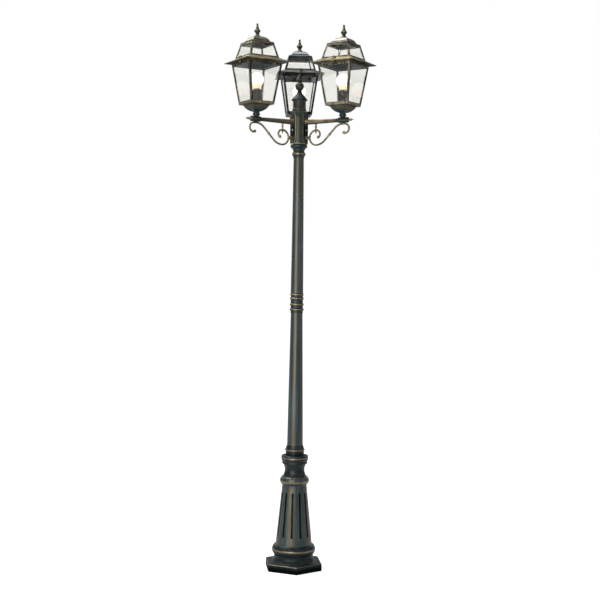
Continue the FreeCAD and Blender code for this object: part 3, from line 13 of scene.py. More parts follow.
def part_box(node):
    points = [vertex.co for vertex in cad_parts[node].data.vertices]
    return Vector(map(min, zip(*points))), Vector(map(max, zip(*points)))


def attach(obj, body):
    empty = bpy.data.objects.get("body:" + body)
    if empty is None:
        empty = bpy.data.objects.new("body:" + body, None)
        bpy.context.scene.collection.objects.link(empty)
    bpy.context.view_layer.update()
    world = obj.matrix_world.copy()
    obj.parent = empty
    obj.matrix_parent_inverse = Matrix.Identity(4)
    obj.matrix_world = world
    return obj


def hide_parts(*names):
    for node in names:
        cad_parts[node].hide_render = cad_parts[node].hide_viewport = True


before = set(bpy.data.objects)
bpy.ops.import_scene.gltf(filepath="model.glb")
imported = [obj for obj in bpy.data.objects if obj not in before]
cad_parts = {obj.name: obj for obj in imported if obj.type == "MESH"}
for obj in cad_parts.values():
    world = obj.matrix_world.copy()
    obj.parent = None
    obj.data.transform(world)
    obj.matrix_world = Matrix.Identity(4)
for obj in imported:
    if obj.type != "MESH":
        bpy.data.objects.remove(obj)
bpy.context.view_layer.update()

LOG = logging.getLogger("lamp_post")
MM = 0.001                     # metres in a millimetre
ROOT = "post"                  # the CAD body of everything that stands still
IMAGE_SIDE = 600               # pixels, both ways

Socket = bpy.types.NodeSocket
Tree = bpy.types.NodeTree
Material = bpy.types.Material
Triple = tuple[float, float, float]
Pair = tuple[float, float]


# --- small tools ------------------------------------------------------------------------------------------
def linear(hex_colour: str) -> tuple[float, float, float, float]:
    """Turn an sRGB hex colour into linear values.

    Args:
        hex_colour: Six hex digits, such as "3f4a4c".

    Returns:
        Red, green, blue and an alpha of one, as the shader sockets take them.
    """
    values = []
    for start in (0, 2, 4):
        share = int(hex_colour[start:start + 2], 16) / 255
        values.append(share / 12.92 if share <= 0.04045 else ((share + 0.055) / 1.055) ** 2.4)
    return (values[0], values[1], values[2], 1.0)


def add_node(tree: Tree, kind: str, inputs: dict | tuple = (), output: int | str = 0,
             **settings: object) -> Socket | None:
    """Add a node with its settings and links.

    Args:
        tree: The material's or the world's node tree.
        kind: The node's type name, after "ShaderNode".
        inputs: What its sockets take, in their order or by name or number: a value or another node's output.
        output: Name or number of the output socket to hand back.
        settings: The node's own properties.

    Returns:
        The output socket, or nothing where the node ends the tree.
    """
    node = tree.nodes.new("ShaderNode" + kind)
    for name, value in settings.items():
        setattr(node, name, value)
    for socket, value in inputs.items() if isinstance(inputs, dict) else enumerate(inputs):
        if isinstance(value, Socket):
            tree.links.new(value, node.inputs[socket])
        else:
            node.inputs[socket].default_value = value
    return node.outputs[output] if node.outputs else None


def new_material(name: str) -> tuple[Material, Callable[..., Socket]]:
    """Make an empty node material.

    Args:
        name: The finish, in plain words.

    Returns:
        The material, and add_node bound to its tree.
    """
    material = bpy.data.materials.new(name)
    material.use_nodes = True
    material.node_tree.nodes.clear()
    return material, partial(add_node, material.node_tree)


def pattern(add: Callable[..., Socket], size: float, detail: float = 2.0,
            squeeze: Triple = (1.0, 1.0, 1.0)) -> Socket:
    """Cloudy pattern at a real size, fixed to the piece.

    Args:
        add: Adds a node to the material.
        size: Width of a patch, millimetres.
        detail: Octaves of finer clouds in it.
        squeeze: Factor along each axis; below one draws the patches out along it into streaks.

    Returns:
        The pattern's value, nought to one.
    """
    scale = tuple(share / MM for share in squeeze)
    place = add("Mapping", {0: add("TexCoord", output="Object"), "Scale": scale})
    return add("TexNoise", {"Vector": place, "Scale": 1 / size, "Detail": detail})


# --- finishes ---------------------------------------------------------------------------------------------
class Rub(Enum):
    """Which way the bronze was rubbed over the paint, as the squeeze that draws its streaks out."""

    EVEN = (1.0, 1.0, 1.0)
    UPRIGHT = (1.0, 1.0, 0.04)
    LEVEL = (0.05, 0.05, 1.0)


# How the rubbing goes on every casting. Openness is nought deep in a corner and one on an open face.
CLOUD = 45.0                   # millimetres across a cloudy patch of bronze
CONTRAST = 1.2                 # of the clouds and streaks against the specks
SHARP = (0.7, 0.3)             # openness inside the metal between which an edge takes bronze
REACHED_BELOW = (-0.85, -0.5)  # lean of a face, straight down being -1, between which the cloth gets to it
REACHED_ROUND = (-0.1, 0.25)   # turn of a face towards the piece's axis, -1, or away from it, 1: the same
FADED = 0.3                    # share of the rubbing left where it has faded
CROWN_SHARE = 0.6              # share of bronze on the crown of a bead
CROWN_CORE = 0.2               # of a bead's half width over which its crown is fully rubbed
FLAKE_POWER = 0.4              # below one, so that a thin dusting already glints
UNRUBBED_SHEEN = "48595d"      # tint of a reflection in paint without bronze: cool and weak
HOLLOW_ROUGHNESS = 0.85
RELIEF = 0.4                   # millimetres of the sprayed paint's texture
LACQUER_ROUGHNESS = 0.2
COOLER = (0.35, 0.65)          # cloud values between which the cool paint takes over
AO_SAMPLES = 6                 # rays that find a hollow or an edge


@dataclass(frozen=True)
class RubbedPatina:
    """Cast aluminium, sprayed dark green-grey and rubbed by hand with bronze powder on its raised places.

    The eye sees dark satin paint, a sheen that turns gold where a lamp stands in it, a dusting of bronze
    on open faces, and bronze along every edge and on the crown of every bead. In hollows and below its shaded
    heights it has painted shade: the paint turns near-black and its reflection is painted out.
    """

    name: str
    paint: str = "16282e"
    cool: str = "1d353d"       # paint between the clouds
    bronze: str = "a19273"
    bright: str = "bfb18f"     # bronze where an edge is rubbed bare
    painted_shade: str = "070c0e"     # painted shade: near-black in hollows and below the shaded heights
    sheen: str = "ffcb7a"      # tint of a softbox's reflection in it
    dusting: float = 0.04      # share of bronze on open faces
    edging: float = 0.8        # share of bronze on sharp edges
    edge_reach: float = 4.0    # millimetres of rubbed edge
    hollow_reach: float = 22.0                 # millimetres within which walls put painted shade into a recess
    hollows: Pair = (0.35, 0.98)               # openness between which paint takes over from painted black shade
    crowns: tuple[Pair, ...] = ()              # height and half width of each rubbed bead, metres
    shaded: Pair = (-2.0, -1.0)                # heights, metres, between which painted black shade turns to rubbed paint
    rub: Rub = Rub.EVEN
    roughness: float = 0.44
    grain: float = 2.2         # millimetres between the specks of bronze, drawn coarser than real to show
    bump: float = 0.15
    patches: Pair = (0.35, 0.85)               # pattern values between which bronze takes over from paint
    wear: Pair = (0.22, 0.66)                  # the same for rubbed edges and crowns
    fleck: float = 0.5         # how much the specks stand out from the patches
    brush: float = 0.5         # weight of the streaks in the patches, the rest being cloudy
    stroke: float = 9.0        # millimetres across a streak
    axis: Pair | None = None   # upright that the piece stands round, metres; only its outside is rubbed
    fade: Pair | None = None   # distances from the post's axis, metres, between which the rubbing fades
    gloss: float = 0.65        # specular level of the satin coat
    lacquer: float = 0.0       # share of clear lacquer, which shows a pale sky

    def reached(self, add: Callable[..., Socket], point: Socket, height: Socket) -> Socket:
        """Find where the cloth got to.

        Args:
            add: Adds a node to the material.
            point: The place on the piece.
            height: Its height.

        Returns:
            Nought where it stayed off to one where it rubbed.
        """
        normal = add("NewGeometry", output="Normal")
        below = add("MapRange", (add("SeparateXYZ", (normal,), output="Z"), *REACHED_BELOW),
                    interpolation_type="SMOOTHSTEP")
        # Below the shaded heights, where shade is painted, no bronze is put either.
        above = add("MapRange", (height, *self.shaded), interpolation_type="SMOOTHSTEP")
        reached = add("Math", (below, above), operation="MULTIPLY")
        if self.axis:
            outward = add("VectorMath", (point, (*self.axis, 0.0)), operation="SUBTRACT")
            outward = add("VectorMath", (outward, (1.0, 1.0, 0.0)), operation="MULTIPLY")
            outward = add("VectorMath", (outward,), operation="NORMALIZE")
            turn = add("VectorMath", (outward, normal), output="Value", operation="DOT_PRODUCT")
            turn = add("MapRange", (turn, *REACHED_ROUND), interpolation_type="SMOOTHSTEP")
            reached = add("Math", (reached, turn), operation="MULTIPLY")
        if self.fade:
            level = add("VectorMath", (point, (1.0, 1.0, 0.0)), operation="MULTIPLY")
            away = add("VectorMath", (level,), output="Value", operation="LENGTH")
            faded = add("MapRange", (away, *self.fade, 1.0, FADED))
            reached = add("Math", (reached, faded), operation="MULTIPLY")
        return reached

    def raised(self, add: Callable[..., Socket], height: Socket) -> Socket:
        """Find the edges and crowns that stand proud.

        Args:
            add: Adds a node to the material.
            height: The height of the place.

        Returns:
            Share of bronze on them.
        """
        inside = add("AmbientOcclusion", {"Distance": self.edge_reach * MM}, output="AO", inside=True,
                     only_local=True, samples=AO_SAMPLES)
        edge = add("MapRange", (inside, *SHARP), interpolation_type="SMOOTHSTEP")
        raised = add("Math", (edge, self.edging), operation="MULTIPLY")
        for middle, half in self.crowns:
            off = add("Math", (add("Math", (height, middle), operation="SUBTRACT"),), operation="ABSOLUTE")
            crown = add("MapRange", (off, half, CROWN_CORE * half), interpolation_type="SMOOTHSTEP")
            crown = add("Math", (crown, CROWN_SHARE), operation="MULTIPLY")
            raised = add("Math", (raised, crown), operation="MAXIMUM")
        return raised

    def material(self) -> Material:
        """Build the finish.

        Returns:
            The material.
        """
        material, add = new_material(self.name)
        point = add("TexCoord", output="Object")
        height = add("SeparateXYZ", (point,), output="Z")
        # Painted shade: lit is nought in hollows and below the shaded heights, one in the open.
        open_air = add("AmbientOcclusion", {"Distance": self.hollow_reach * MM}, output="AO", only_local=True,
                       samples=AO_SAMPLES)
        shelter = add("MapRange", (open_air, *self.hollows), interpolation_type="SMOOTHSTEP")
        out_of_shade = add("MapRange", (height, *self.shaded), interpolation_type="SMOOTHSTEP")
        lit = add("Math", (shelter, out_of_shade), operation="MULTIPLY")
        reached = self.reached(add, point, height)

        speck = pattern(add, self.grain, 2)
        cloudy = add("Math", (pattern(add, CLOUD, 3), 1 - self.brush), operation="MULTIPLY")
        streaks = pattern(add, self.stroke, 3, self.rub.value)
        streaky = add("Math", (streaks, self.brush), operation="MULTIPLY")
        clouds = add("Math", (cloudy, streaky), operation="ADD")
        flecks = add("Math", (speck, 0.5), operation="SUBTRACT")
        flecks = add("Math", (flecks, self.fleck), operation="MULTIPLY")
        patchy = add("Math", (clouds, CONTRAST), operation="MULTIPLY")
        patchy = add("Math", (patchy, flecks), operation="ADD")

        dusted = add("MapRange", (patchy, *self.patches), interpolation_type="SMOOTHSTEP")
        dusted = add("Math", (dusted, 2 * self.dusting), operation="MULTIPLY")
        dusted = add("Math", (dusted, shelter), operation="MULTIPLY")
        worn = add("MapRange", (patchy, *self.wear), interpolation_type="SMOOTHSTEP")
        bare = add("Math", (self.raised(add, height), worn), operation="MULTIPLY")
        metal = add("Math", (dusted, bare), operation="MAXIMUM")
        metal = add("Math", (metal, reached), operation="MULTIPLY")
        flake = add("Math", (metal, FLAKE_POWER), operation="POWER")

        cooler = add("MapRange", (clouds, *COOLER), interpolation_type="SMOOTHSTEP")
        paint = add("Mix", {0: cooler, 6: linear(self.paint), 7: linear(self.cool)}, 2, data_type="RGBA")
        # Painted shade: the paint turns near-black where lit is low.
        paint = add("Mix", {0: lit, 6: linear(self.painted_shade), 7: paint}, 2, data_type="RGBA")
        bronze = add("Mix", {0: bare, 6: linear(self.bronze), 7: linear(self.bright)}, 2, data_type="RGBA")
        colour = add("Mix", {0: metal, 6: paint, 7: bronze}, 2, data_type="RGBA")
        sheen = add("Mix", {0: reached, 6: linear(UNRUBBED_SHEEN), 7: linear(self.sheen)}, 2,
                    data_type="RGBA")
        # Painted shade on the reflection: its tint turns black where lit is low.
        sheen = add("Mix", {0: lit, 6: linear("000000"), 7: sheen}, 2, data_type="RGBA")
        rough = add("MapRange", (lit, 0.0, 1.0, HOLLOW_ROUGHNESS, self.roughness))
        relief = add("Bump", {"Height": speck, "Strength": self.bump, "Distance": RELIEF * MM})
        shader = add("BsdfPrincipled", {
            "Base Color": colour, "Metallic": flake, "Roughness": rough, "Normal": relief,
            "Specular IOR Level": self.gloss, "Specular Tint": sheen, "Coat Weight": self.lacquer,
            "Coat Roughness": LACQUER_ROUGHNESS})
        add("OutputMaterial", {"Surface": shader})
        return material


@dataclass(frozen=True)
class ClearGlass:
    """Float glass, 3 mm, cut to the frame: clear, with the faint grey of its edges and a little dust."""

    name: str
    tint: str = "f8f8f5"
    roughness: float = 0.008   # where it is clean
    dust: float = 0.012        # roughness that the dust adds
    cloud: float = 60.0        # millimetres across a dusty patch
    dusty: Pair = (0.35, 0.75)                 # pattern values between which the dust sets in

    def material(self) -> Material:
        """Build the finish.

        Returns:
            The material.
        """
        material, add = new_material(self.name)
        dust = add("MapRange", (pattern(add, self.cloud, 4), *self.dusty), interpolation_type="SMOOTHSTEP")
        rough = add("MapRange", (dust, 0.0, 1.0, self.roughness, self.roughness + self.dust))
        shader = add("BsdfPrincipled", {"Base Color": linear(self.tint), "Roughness": rough,
                                        "Transmission Weight": 1.0})
        add("OutputMaterial", {"Surface": shader})
        return material


@dataclass(frozen=True)
class LitLamp:
    """Frosted glass lamp, lit: white on its crown and amber towards its neck."""

    name: str
    neck_height: float         # where the glow is amber, metres
    crown_height: float        # where it is white, metres
    glass: str = "fff6e6"
    crown: str = "fffaf0"
    neck: str = "ff9340"
    strength: float = 1.3
    roughness: float = 0.35
    frost: float = 3.0         # millimetres between the frosting's waves, drawn coarser than real to show
    relief: float = 0.2        # millimetres
    bump: float = 0.05

    def material(self) -> Material:
        """Build the finish.

        Returns:
            The material.
        """
        material, add = new_material(self.name)
        height = add("SeparateXYZ", (add("TexCoord", output="Object"),), output="Z")
        share = add("MapRange", (height, self.neck_height, self.crown_height),
                    interpolation_type="SMOOTHSTEP")
        glow = add("Mix", {0: share, 6: linear(self.neck), 7: linear(self.crown)}, 2, data_type="RGBA")
        relief = add("Bump", {"Height": pattern(add, self.frost), "Strength": self.bump,
                              "Distance": self.relief * MM})
        shader = add("BsdfPrincipled", {
            "Base Color": linear(self.glass), "Roughness": self.roughness, "Emission Color": glow,
            "Emission Strength": self.strength, "Normal": relief})
        add("OutputMaterial", {"Surface": shader})
        return material


@dataclass(frozen=True)
class Moulded:
    """Moulded plastic with a fine spark-eroded grain that breaks its highlights."""

    name: str
    colour: str
    roughness: float = 0.5
    grain: float = 0.8         # millimetres between the pits
    relief: float = 0.1        # millimetres
    cloud: float = 25.0        # millimetres across a paler patch
    clouded: Pair = (0.3, 0.7)                 # pattern values between which it turns paler
    pale: float = 1.25         # how much paler
    bump: float = 0.15

    def material(self) -> Material:
        """Build the finish.

        Returns:
            The material.
        """
        material, add = new_material(self.name)
        paler = tuple(min(1.0, self.pale * share) for share in linear(self.colour))
        cloud = add("MapRange", (pattern(add, self.cloud), *self.clouded), interpolation_type="SMOOTHSTEP")
        shade = add("Mix", {0: cloud, 6: linear(self.colour), 7: paler}, 2, data_type="RGBA")
        relief = add("Bump", {"Height": pattern(add, self.grain), "Strength": self.bump,
                              "Distance": self.relief * MM})
        shader = add("BsdfPrincipled", {"Base Color": shade, "Roughness": self.roughness, "Normal": relief})
        add("OutputMaterial", {"Surface": shader})
        return material


@dataclass(frozen=True)
class Drawn:
    """Drawn or turned metal, whose fine upright lines break its highlights."""

    name: str
    colour: str
    roughness: float = 0.35
    spread: Pair = (-0.1, 0.15)    # what the lines take from the roughness and add to it
    line: float = 1.2              # millimetres between the lines, drawn coarser than real to show
    stretch: Triple = (1.0, 1.0, 0.1)
    dark: float = 0.6              # colour of a line against the metal's

    def material(self) -> Material:
        """Build the finish.

        Returns:
            The material.
        """
        material, add = new_material(self.name)
        lines = pattern(add, self.line, 3, self.stretch)
        rough = add("MapRange", (lines, 0.0, 1.0, *(self.roughness + part for part in self.spread)))
        darker = tuple(self.dark * share for share in linear(self.colour))
        shade = add("Mix", {0: lines, 6: linear(self.colour), 7: darker}, 2, data_type="RGBA")
        shader = add("BsdfPrincipled", {"Base Color": shade, "Metallic": 1.0, "Roughness": rough})
        add("OutputMaterial", {"Surface": shader})
        return material


Finish = RubbedPatina | ClearGlass | LitLamp | Moulded | Drawn


@cache
def made(finish: Finish) -> Material:
    """Make a finish at its first use, and hand out the same material after that."""
    return finish.material()


# --- modelling tools --------------------------------------------------------------------------------------
POLE = 1e-6                    # metres, radius of a ring that closes to a point
TOUCHING = 1e-7                # metres, within which two corners are one
GLOBE_SMOOTHING = 40.0         # degrees


def deselect_all() -> None:
    """Leave nothing selected, so that an operator acts on the new piece alone."""
    for thing in bpy.context.selected_objects:
        thing.select_set(False)


def turned_piece(name: str, profile: list[Pair], sides: int) -> bpy.types.Object:
    """Raise a round piece from a disc, ring by ring, as on a lathe.

    Args:
        name: The piece's name.
        profile: Radius and height of each ring from the first disc on, metres; a last radius of zero closes
            it in a pole, any other leaves a flat end.
        sides: Corners round each ring.

    Returns:
        The piece, in object mode, standing on the z axis.
    """
    deselect_all()
    radius, height = profile[0]
    bpy.ops.mesh.primitive_circle_add(vertices=sides, radius=radius, fill_type="NGON",
                                      location=(0, 0, height))
    piece = bpy.context.object
    piece.name = name
    bpy.ops.object.transform_apply(location=True)
    bpy.ops.object.mode_set(mode="EDIT")
    bpy.ops.mesh.select_all(action="SELECT")
    for wide, high in profile[1:]:
        bpy.ops.mesh.extrude_region_move(TRANSFORM_OT_translate={"value": (0, 0, high - height)})
        share = max(wide, POLE) / radius
        bpy.ops.transform.resize(value=(share, share, 1), center_override=(0, 0, high))
        radius, height = max(wide, POLE), high
    if profile[-1][0] == 0:
        bpy.ops.mesh.merge(type="CENTER")
    bpy.ops.mesh.select_all(action="SELECT")
    bpy.ops.mesh.remove_doubles(threshold=TOUCHING)
    bpy.ops.mesh.normals_make_consistent(inside=False)
    bpy.ops.object.mode_set(mode="OBJECT")
    return piece


def choose_faces(piece: bpy.types.Object, wanted: Callable[[bpy.types.MeshPolygon], bool]) -> None:
    """Select, in object mode, the faces that a test wants and nothing else.

    Args:
        piece: The piece whose faces are chosen.
        wanted: Says of a face whether it is wanted.
    """
    for part in (piece.data.vertices, piece.data.edges):
        for element in part:
            element.select = False
    for face in piece.data.polygons:
        face.select = wanted(face)


def smoothed(piece: bpy.types.Object, degrees: float = 32.0) -> bpy.types.Object:
    """Shade a piece smooth up to an angle between faces.

    Args:
        piece: The piece to shade.
        degrees: The angle from which an edge stays sharp.

    Returns:
        The same piece.
    """
    deselect_all()
    piece.select_set(True)
    bpy.context.view_layer.objects.active = piece
    bpy.ops.object.shade_smooth_by_angle(angle=math.radians(degrees))
    return piece


def copy_at(template: bpy.types.Object, name: str, place: Vector) -> bpy.types.Object:
    """Copy a finished piece to a place, with its own mesh and the place in the mesh.

    Args:
        template: The piece to copy.
        name: Name of the copy.
        place: How far the copy stands from the template, metres.

    Returns:
        The copy.
    """
    piece = template.copy()
    piece.data = template.data.copy()
    piece.name = name
    piece.data.transform(Matrix.Translation(place))
    bpy.context.scene.collection.objects.link(piece)
    return piece


# --- dressing the CAD nodes -------------------------------------------------------------------------------
def dress(node: str, finish: Finish) -> None:
    """Give a carried-over CAD node its finish.

    Args:
        node: The node's name.
        finish: What it is finished with.
    """
    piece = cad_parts[node]
    piece.data.materials.clear()
    piece.data.materials.append(made(finish))
    LOG.info("%s: %s", node, finish.name)


def beads(node: str, *places: Pair) -> tuple[Pair, ...]:
    """Find where a node's beads, rings or rails stand, for the crowns of its finish.

    Args:
        node: The CAD node.
        places: Of each, the height of its middle over the node's foot and half its width, metres.

    Returns:
        Of each, the height of its middle in the frame and half its width.
    """
    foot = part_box(node)[0].z
    return tuple((foot + rise, half) for rise, half in places)


def axis_of(node: str) -> Pair:
    """Find the upright in the middle of a node's box."""
    low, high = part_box(node)
    return ((low.x + high.x) / 2, (low.y + high.y) / 2)


# Coat of the beaded collars and of the turned seats: grey paint, hardly dusted, gold only on the beads.
COLLAR_COAT = RubbedPatina("top_collar_patina", sheen="dccfb4", edging=0.3,
                           crowns=beads("top_collar", (0.050, 0.006)))


@dataclass
class Post:
    """Foot, pedestal, columns, collars, hub and what closes it.

    Beads and rings are given as the height of their middle over the piece's foot and half their width, in
    metres.
    """

    plate_edge: Pair = (0.031, 0.0012)
    foot_roll: Pair = (0.088, 0.006)
    plate_shade: Pair = (0.012, 0.0315)        # heights where painted black shade on the plate's side ends
    pedestal_ring: Pair = (0.280, 0.006)
    cup_ring: Pair = (0.089, 0.005)
    neck_ring: Pair = (0.123, 0.006)
    mid_beads: tuple[Pair, ...] = ((0.046, 0.005), (0.0685, 0.006), (0.0955, 0.006), (0.113, 0.005))
    hub_ring: Pair = (0.005, 0.0025)

    def finishes(self) -> dict[str, Finish]:
        """Choose the finish of each piece.

        Returns:
            Finish by node name.
        """
        # Foot: nearly black, bluish where the plate's top mirrors the room, gold on its rim and roll; the
        # plate's side is painted black as shade.
        foot = RubbedPatina("foot_patina", paint="10191d", cool="1a272c", sheen="a9c2cc", edging=0.0,
                            dusting=0.03, crowns=beads("foot", self.plate_edge, self.foot_roll),
                            shaded=self.plate_shade, roughness=0.36, gloss=0.3)
        # Columns: blue-green satin with one broad highlight that turns gold, streaked along the tube.
        column = RubbedPatina("column_patina", paint="17343f", cool="254a58", dusting=0.03, rub=Rub.UPRIGHT,
                              roughness=0.36, brush=0.9, gloss=1.0)
        # Pedestal: the columns' coat, with painted black shade in the bottoms of its grooves.
        pedestal = replace(column, name="pedestal_patina", edging=0.1, hollows=(0.6, 0.97),
                           crowns=beads("pedestal", self.pedestal_ring))
        # Neck: dark and cool, gold only on its two rings.
        neck = RubbedPatina("neck_patina", paint="0c1518", cool="142024", sheen="c4d2da", edging=0.3,
                            dusting=0.03, crowns=beads("pedestal_neck", self.cup_ring, self.neck_ring),
                            roughness=0.36, gloss=0.55)
        # Middle collar: grey like the one under the hub, gold on its four beads.
        mid_collar = replace(COLLAR_COAT, name="mid_collar_patina",
                             crowns=beads("mid_collar", *self.mid_beads))
        # Hub: dark, so that the bright lines along the edges of its pilasters stand out.
        hub = RubbedPatina("hub_patina", bronze="b4a27a", bright="dcc896", sheen="e8cda0", dusting=0.05,
                           edging=1.0, edge_reach=3.2, crowns=beads("hub", self.hub_ring), rub=Rub.UPRIGHT,
                           wear=(0.1, 0.5), brush=0.9, gloss=0.55)
        # Sleeve and ball finial: rubbed round, with a quiet sheen.
        sleeve = RubbedPatina("sleeve_patina", edging=0.3, edge_reach=1.8, rub=Rub.LEVEL, stroke=5.0,
                              gloss=0.5)
        # Conical cap: the darkest piece, matt, with hardly any bronze.
        cap = RubbedPatina("hub_roof_patina", paint="0f181b", cool="16262b", sheen="a9b4b4", dusting=0.02,
                           edging=0.3, edge_reach=1.8, gloss=0.2)
        # Rod, nuts and screws: grey zinc with drawn lines.
        steel = Drawn("galvanised_steel", "9c9d9c")
        # Terminal block: pale moulded plastic.
        terminal = Moulded("terminal_plastic", "dcd8cc")
        return {"foot": foot, "pedestal": pedestal, "pedestal_neck": neck, "lower_column": column,
                "mid_collar": mid_collar, "upper_column": column, "top_collar": COLLAR_COAT, "hub": hub,
                "hub_sleeve": sleeve, "hub_roof": cap, "hub_finial": sleeve, "tie_rod": steel,
                "tie_nuts": steel, "arm_screws": steel, "terminal_block": terminal}

    def build(self) -> None:
        """Dress the pieces of the post."""
        for node, finish in self.finishes().items():
            dress(node, finish)


# Coat of the forged scrolls and the small spears: the most bronze of all, pale on every edge.
SCROLL_COAT = RubbedPatina("scroll_patina", bronze="b8a682", bright="cfc09c", dusting=0.5, edge_reach=1.6)


@dataclass
class Arm:
    """One arm with its scroll bracket and the small spear on its end."""

    name: str
    plate_shade: Pair = (0.040, 0.047)     # heights over its foot where painted black shade on the plate ends
    tee: Pair = (0.15, 0.185)              # distances from the post between which the rubbing fades

    def build(self) -> None:
        """Dress the arm."""
        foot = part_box(self.name + "_arm")[0].z
        # Beam: bronze streaks along it, ending before the tee; the root plate under it gets painted black
        # shade.
        beam = RubbedPatina("arm_patina", dusting=0.4, edge_reach=2.0, rub=Rub.LEVEL, stroke=7.0,
                            shaded=tuple(foot + rise for rise in self.plate_shade), fade=self.tee)
        dress(self.name + "_arm", beam)
        dress(self.name + "_scroll", SCROLL_COAT)
        dress(self.name + "_arm_tip", SCROLL_COAT)


@dataclass
class LampSet:
    """Ribbed lampholder and lit lamp, modelled once for all three lanterns; sizes in metres."""

    foot_radius: float = 0.020
    foot_height: float = 0.008
    foot_slope: float = 0.002
    skirt_radius: float = 0.0222
    rim_radius: float = 0.024
    rim_height: float = 0.009
    rim_slope: float = 0.0015
    rim_break: float = 0.001       # the broken edge round the rim
    mouth_radius: float = 0.021
    lip: float = 0.005
    bore_radius: float = 0.0139
    bore_depth: float = 0.0203
    ribs: int = 24
    rib_inset: float = 0.0004
    rib_height: float = 0.0016
    shell_radius: float = 0.0134
    shell_length: float = 0.024
    shell_foot: float = 0.003      # how much narrower the cap is at its foot
    thread_start: float = 0.001
    thread_depth: float = 0.0009
    thread_turns: int = 6
    contact_radius: float = 0.005
    contact_height: float = 0.001
    contact_length: float = 0.003
    neck_radius: float = 0.0165
    shoulder: float = 0.006
    globe_radius: float = 0.030
    globe_lean: float = 35.0       # degrees below level at which the neck meets the globe
    globe_rings: int = 12
    lamp_sides: int = 40
    glow_inset: float = 0.034      # from either end of the lamp to where its glow stops changing

    def holder(self, base: float, top: float, finish: Finish) -> bpy.types.Object:
        """Model the lampholder: foot, ribbed skirt, rim and the bore for the lamp's cap.

        Args:
            base: Height of its foot.
            top: Height of its rim.
            finish: Its finish.

        Returns:
            The piece, on the z axis.
        """
        foot_top = base + self.foot_height
        skirt_low = foot_top + self.foot_slope
        skirt_high = top - self.rim_height
        piece = turned_piece("holder", [
            (self.foot_radius, base), (self.foot_radius, foot_top), (self.skirt_radius, skirt_low),
            (self.skirt_radius, skirt_high), (self.rim_radius, skirt_high + self.rim_slope),
            (self.rim_radius, top - self.rim_break), (self.rim_radius - self.rim_break, top),
            (self.mouth_radius, top), (self.mouth_radius, top - self.lip), (self.bore_radius, top - self.lip),
            (self.bore_radius, top - self.bore_depth)], 2 * self.ribs)
        middle = (skirt_low + skirt_high) / 2
        step = math.pi / self.ribs

        def is_rib(face: bpy.types.MeshPolygon) -> bool:
            """Say whether a face is one of every other face of the skirt.

            Args:
                face: A face of the lampholder.

            Returns:
                True for a face that becomes a rib.
            """
            turn = round((math.atan2(face.center.y, face.center.x) - step / 2) / step)
            outside = math.hypot(face.center.x, face.center.y) > (self.bore_radius + self.skirt_radius) / 2
            return abs(face.center.z - middle) < self.rim_break and outside and turn % 2 == 0

        choose_faces(piece, is_rib)
        bpy.ops.object.mode_set(mode="EDIT")
        bpy.ops.mesh.inset(thickness=self.rib_inset, depth=self.rib_height, use_individual=True)
        bpy.ops.object.mode_set(mode="OBJECT")
        piece.data.materials.append(made(finish))
        return smoothed(piece)

    def lamp(self, tip: float, top: float, glass: Finish, metal: Finish) -> bpy.types.Object:
        """Model the lamp: contact, threaded cap, neck and globe in one piece.

        Args:
            tip: Height of its contact.
            top: Height of its crown.
            glass: Finish of the globe.
            metal: Finish of the cap.

        Returns:
            The piece, on the z axis.
        """
        shell_low = tip + self.contact_length
        shell_top = shell_low + self.shell_length
        rings = [(self.contact_radius, tip), (self.contact_radius, tip + self.contact_height),
                 (self.shell_radius - self.shell_foot, shell_low)]
        pitch = (self.shell_length - 2 * self.thread_start) / self.thread_turns
        for turn in range(self.thread_turns):
            low = shell_low + self.thread_start + turn * pitch
            rings += [(self.shell_radius - self.thread_depth, low), (self.shell_radius, low + pitch / 2)]
        rings += [(self.shell_radius, shell_top), (self.neck_radius, shell_top + self.shoulder)]
        centre = top - self.globe_radius
        lean = math.radians(self.globe_lean)
        for ring in range(self.globe_rings + 1):
            angle = -lean + ring / self.globe_rings * (math.pi / 2 + lean)
            rings.append((self.globe_radius * math.cos(angle) if ring < self.globe_rings else 0.0,
                          centre + self.globe_radius * math.sin(angle)))
        piece = turned_piece("lamp", rings, self.lamp_sides)
        piece.data.materials.append(made(glass))
        piece.data.materials.append(made(metal))
        for face in piece.data.polygons:
            face.material_index = 1 if face.center.z < shell_top else 0
        return smoothed(piece, GLOBE_SMOOTHING)

    def build(self) -> None:
        """Stand a holder and a lamp in each lantern."""
        base, top = (corner.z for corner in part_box("left_lampholder"))
        tip, crown = (corner.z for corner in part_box("left_bulb"))
        # Lampholder: black moulded plastic, half glossy, so that its ribs catch thin lights.
        holder = self.holder(base, top, Moulded("lampholder_plastic", "161914", 0.42))
        # Lamp: a white glow that ends in amber over a bright nickelled cap.
        glass = LitLamp("lit_lamp", tip + self.glow_inset, crown - self.glow_inset)
        lamp = self.lamp(tip, crown, glass, Drawn("nickelled_cap", "c8c2b4", 0.3))
        for name in LANTERNS:
            axis = Vector((*axis_of(name + "_bulb"), 0))
            for template, part, body, slot in ((holder, "lampholder", ROOT, "holder_plastic"),
                                               (lamp, "bulb", name + "_lamp", "lamp_glass")):
                piece = copy_at(template, name + "_detailed_" + part, axis)
                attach(piece, body)
                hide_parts(name + "_" + part)
                LOG.info("%s: modelled", piece.name)
        for template in (holder, lamp):
            bpy.data.objects.remove(template)


# --- lanterns ---------------------------------------------------------------------------------------------
# Bowl: blue-green like the columns, dusted in patches, with a bright light on its swelling.
BOWL_COAT = RubbedPatina("bowl_patina", dusting=0.13, edge_reach=1.8, patches=(0.45, 0.8), gloss=0.9)
# Finial: gold on every ring of its turning.
FINIAL_COAT = RubbedPatina("finial_patina", dusting=0.14, edge_reach=2.5)
# Panes: clear, seen mostly by the pale room in them and a trace of dust.
PANE = ClearGlass("lantern_glass")
# Thumb nuts: brass gone brown.
NUT_METAL = Drawn("patinated_brass", "7c6a48", 0.4)


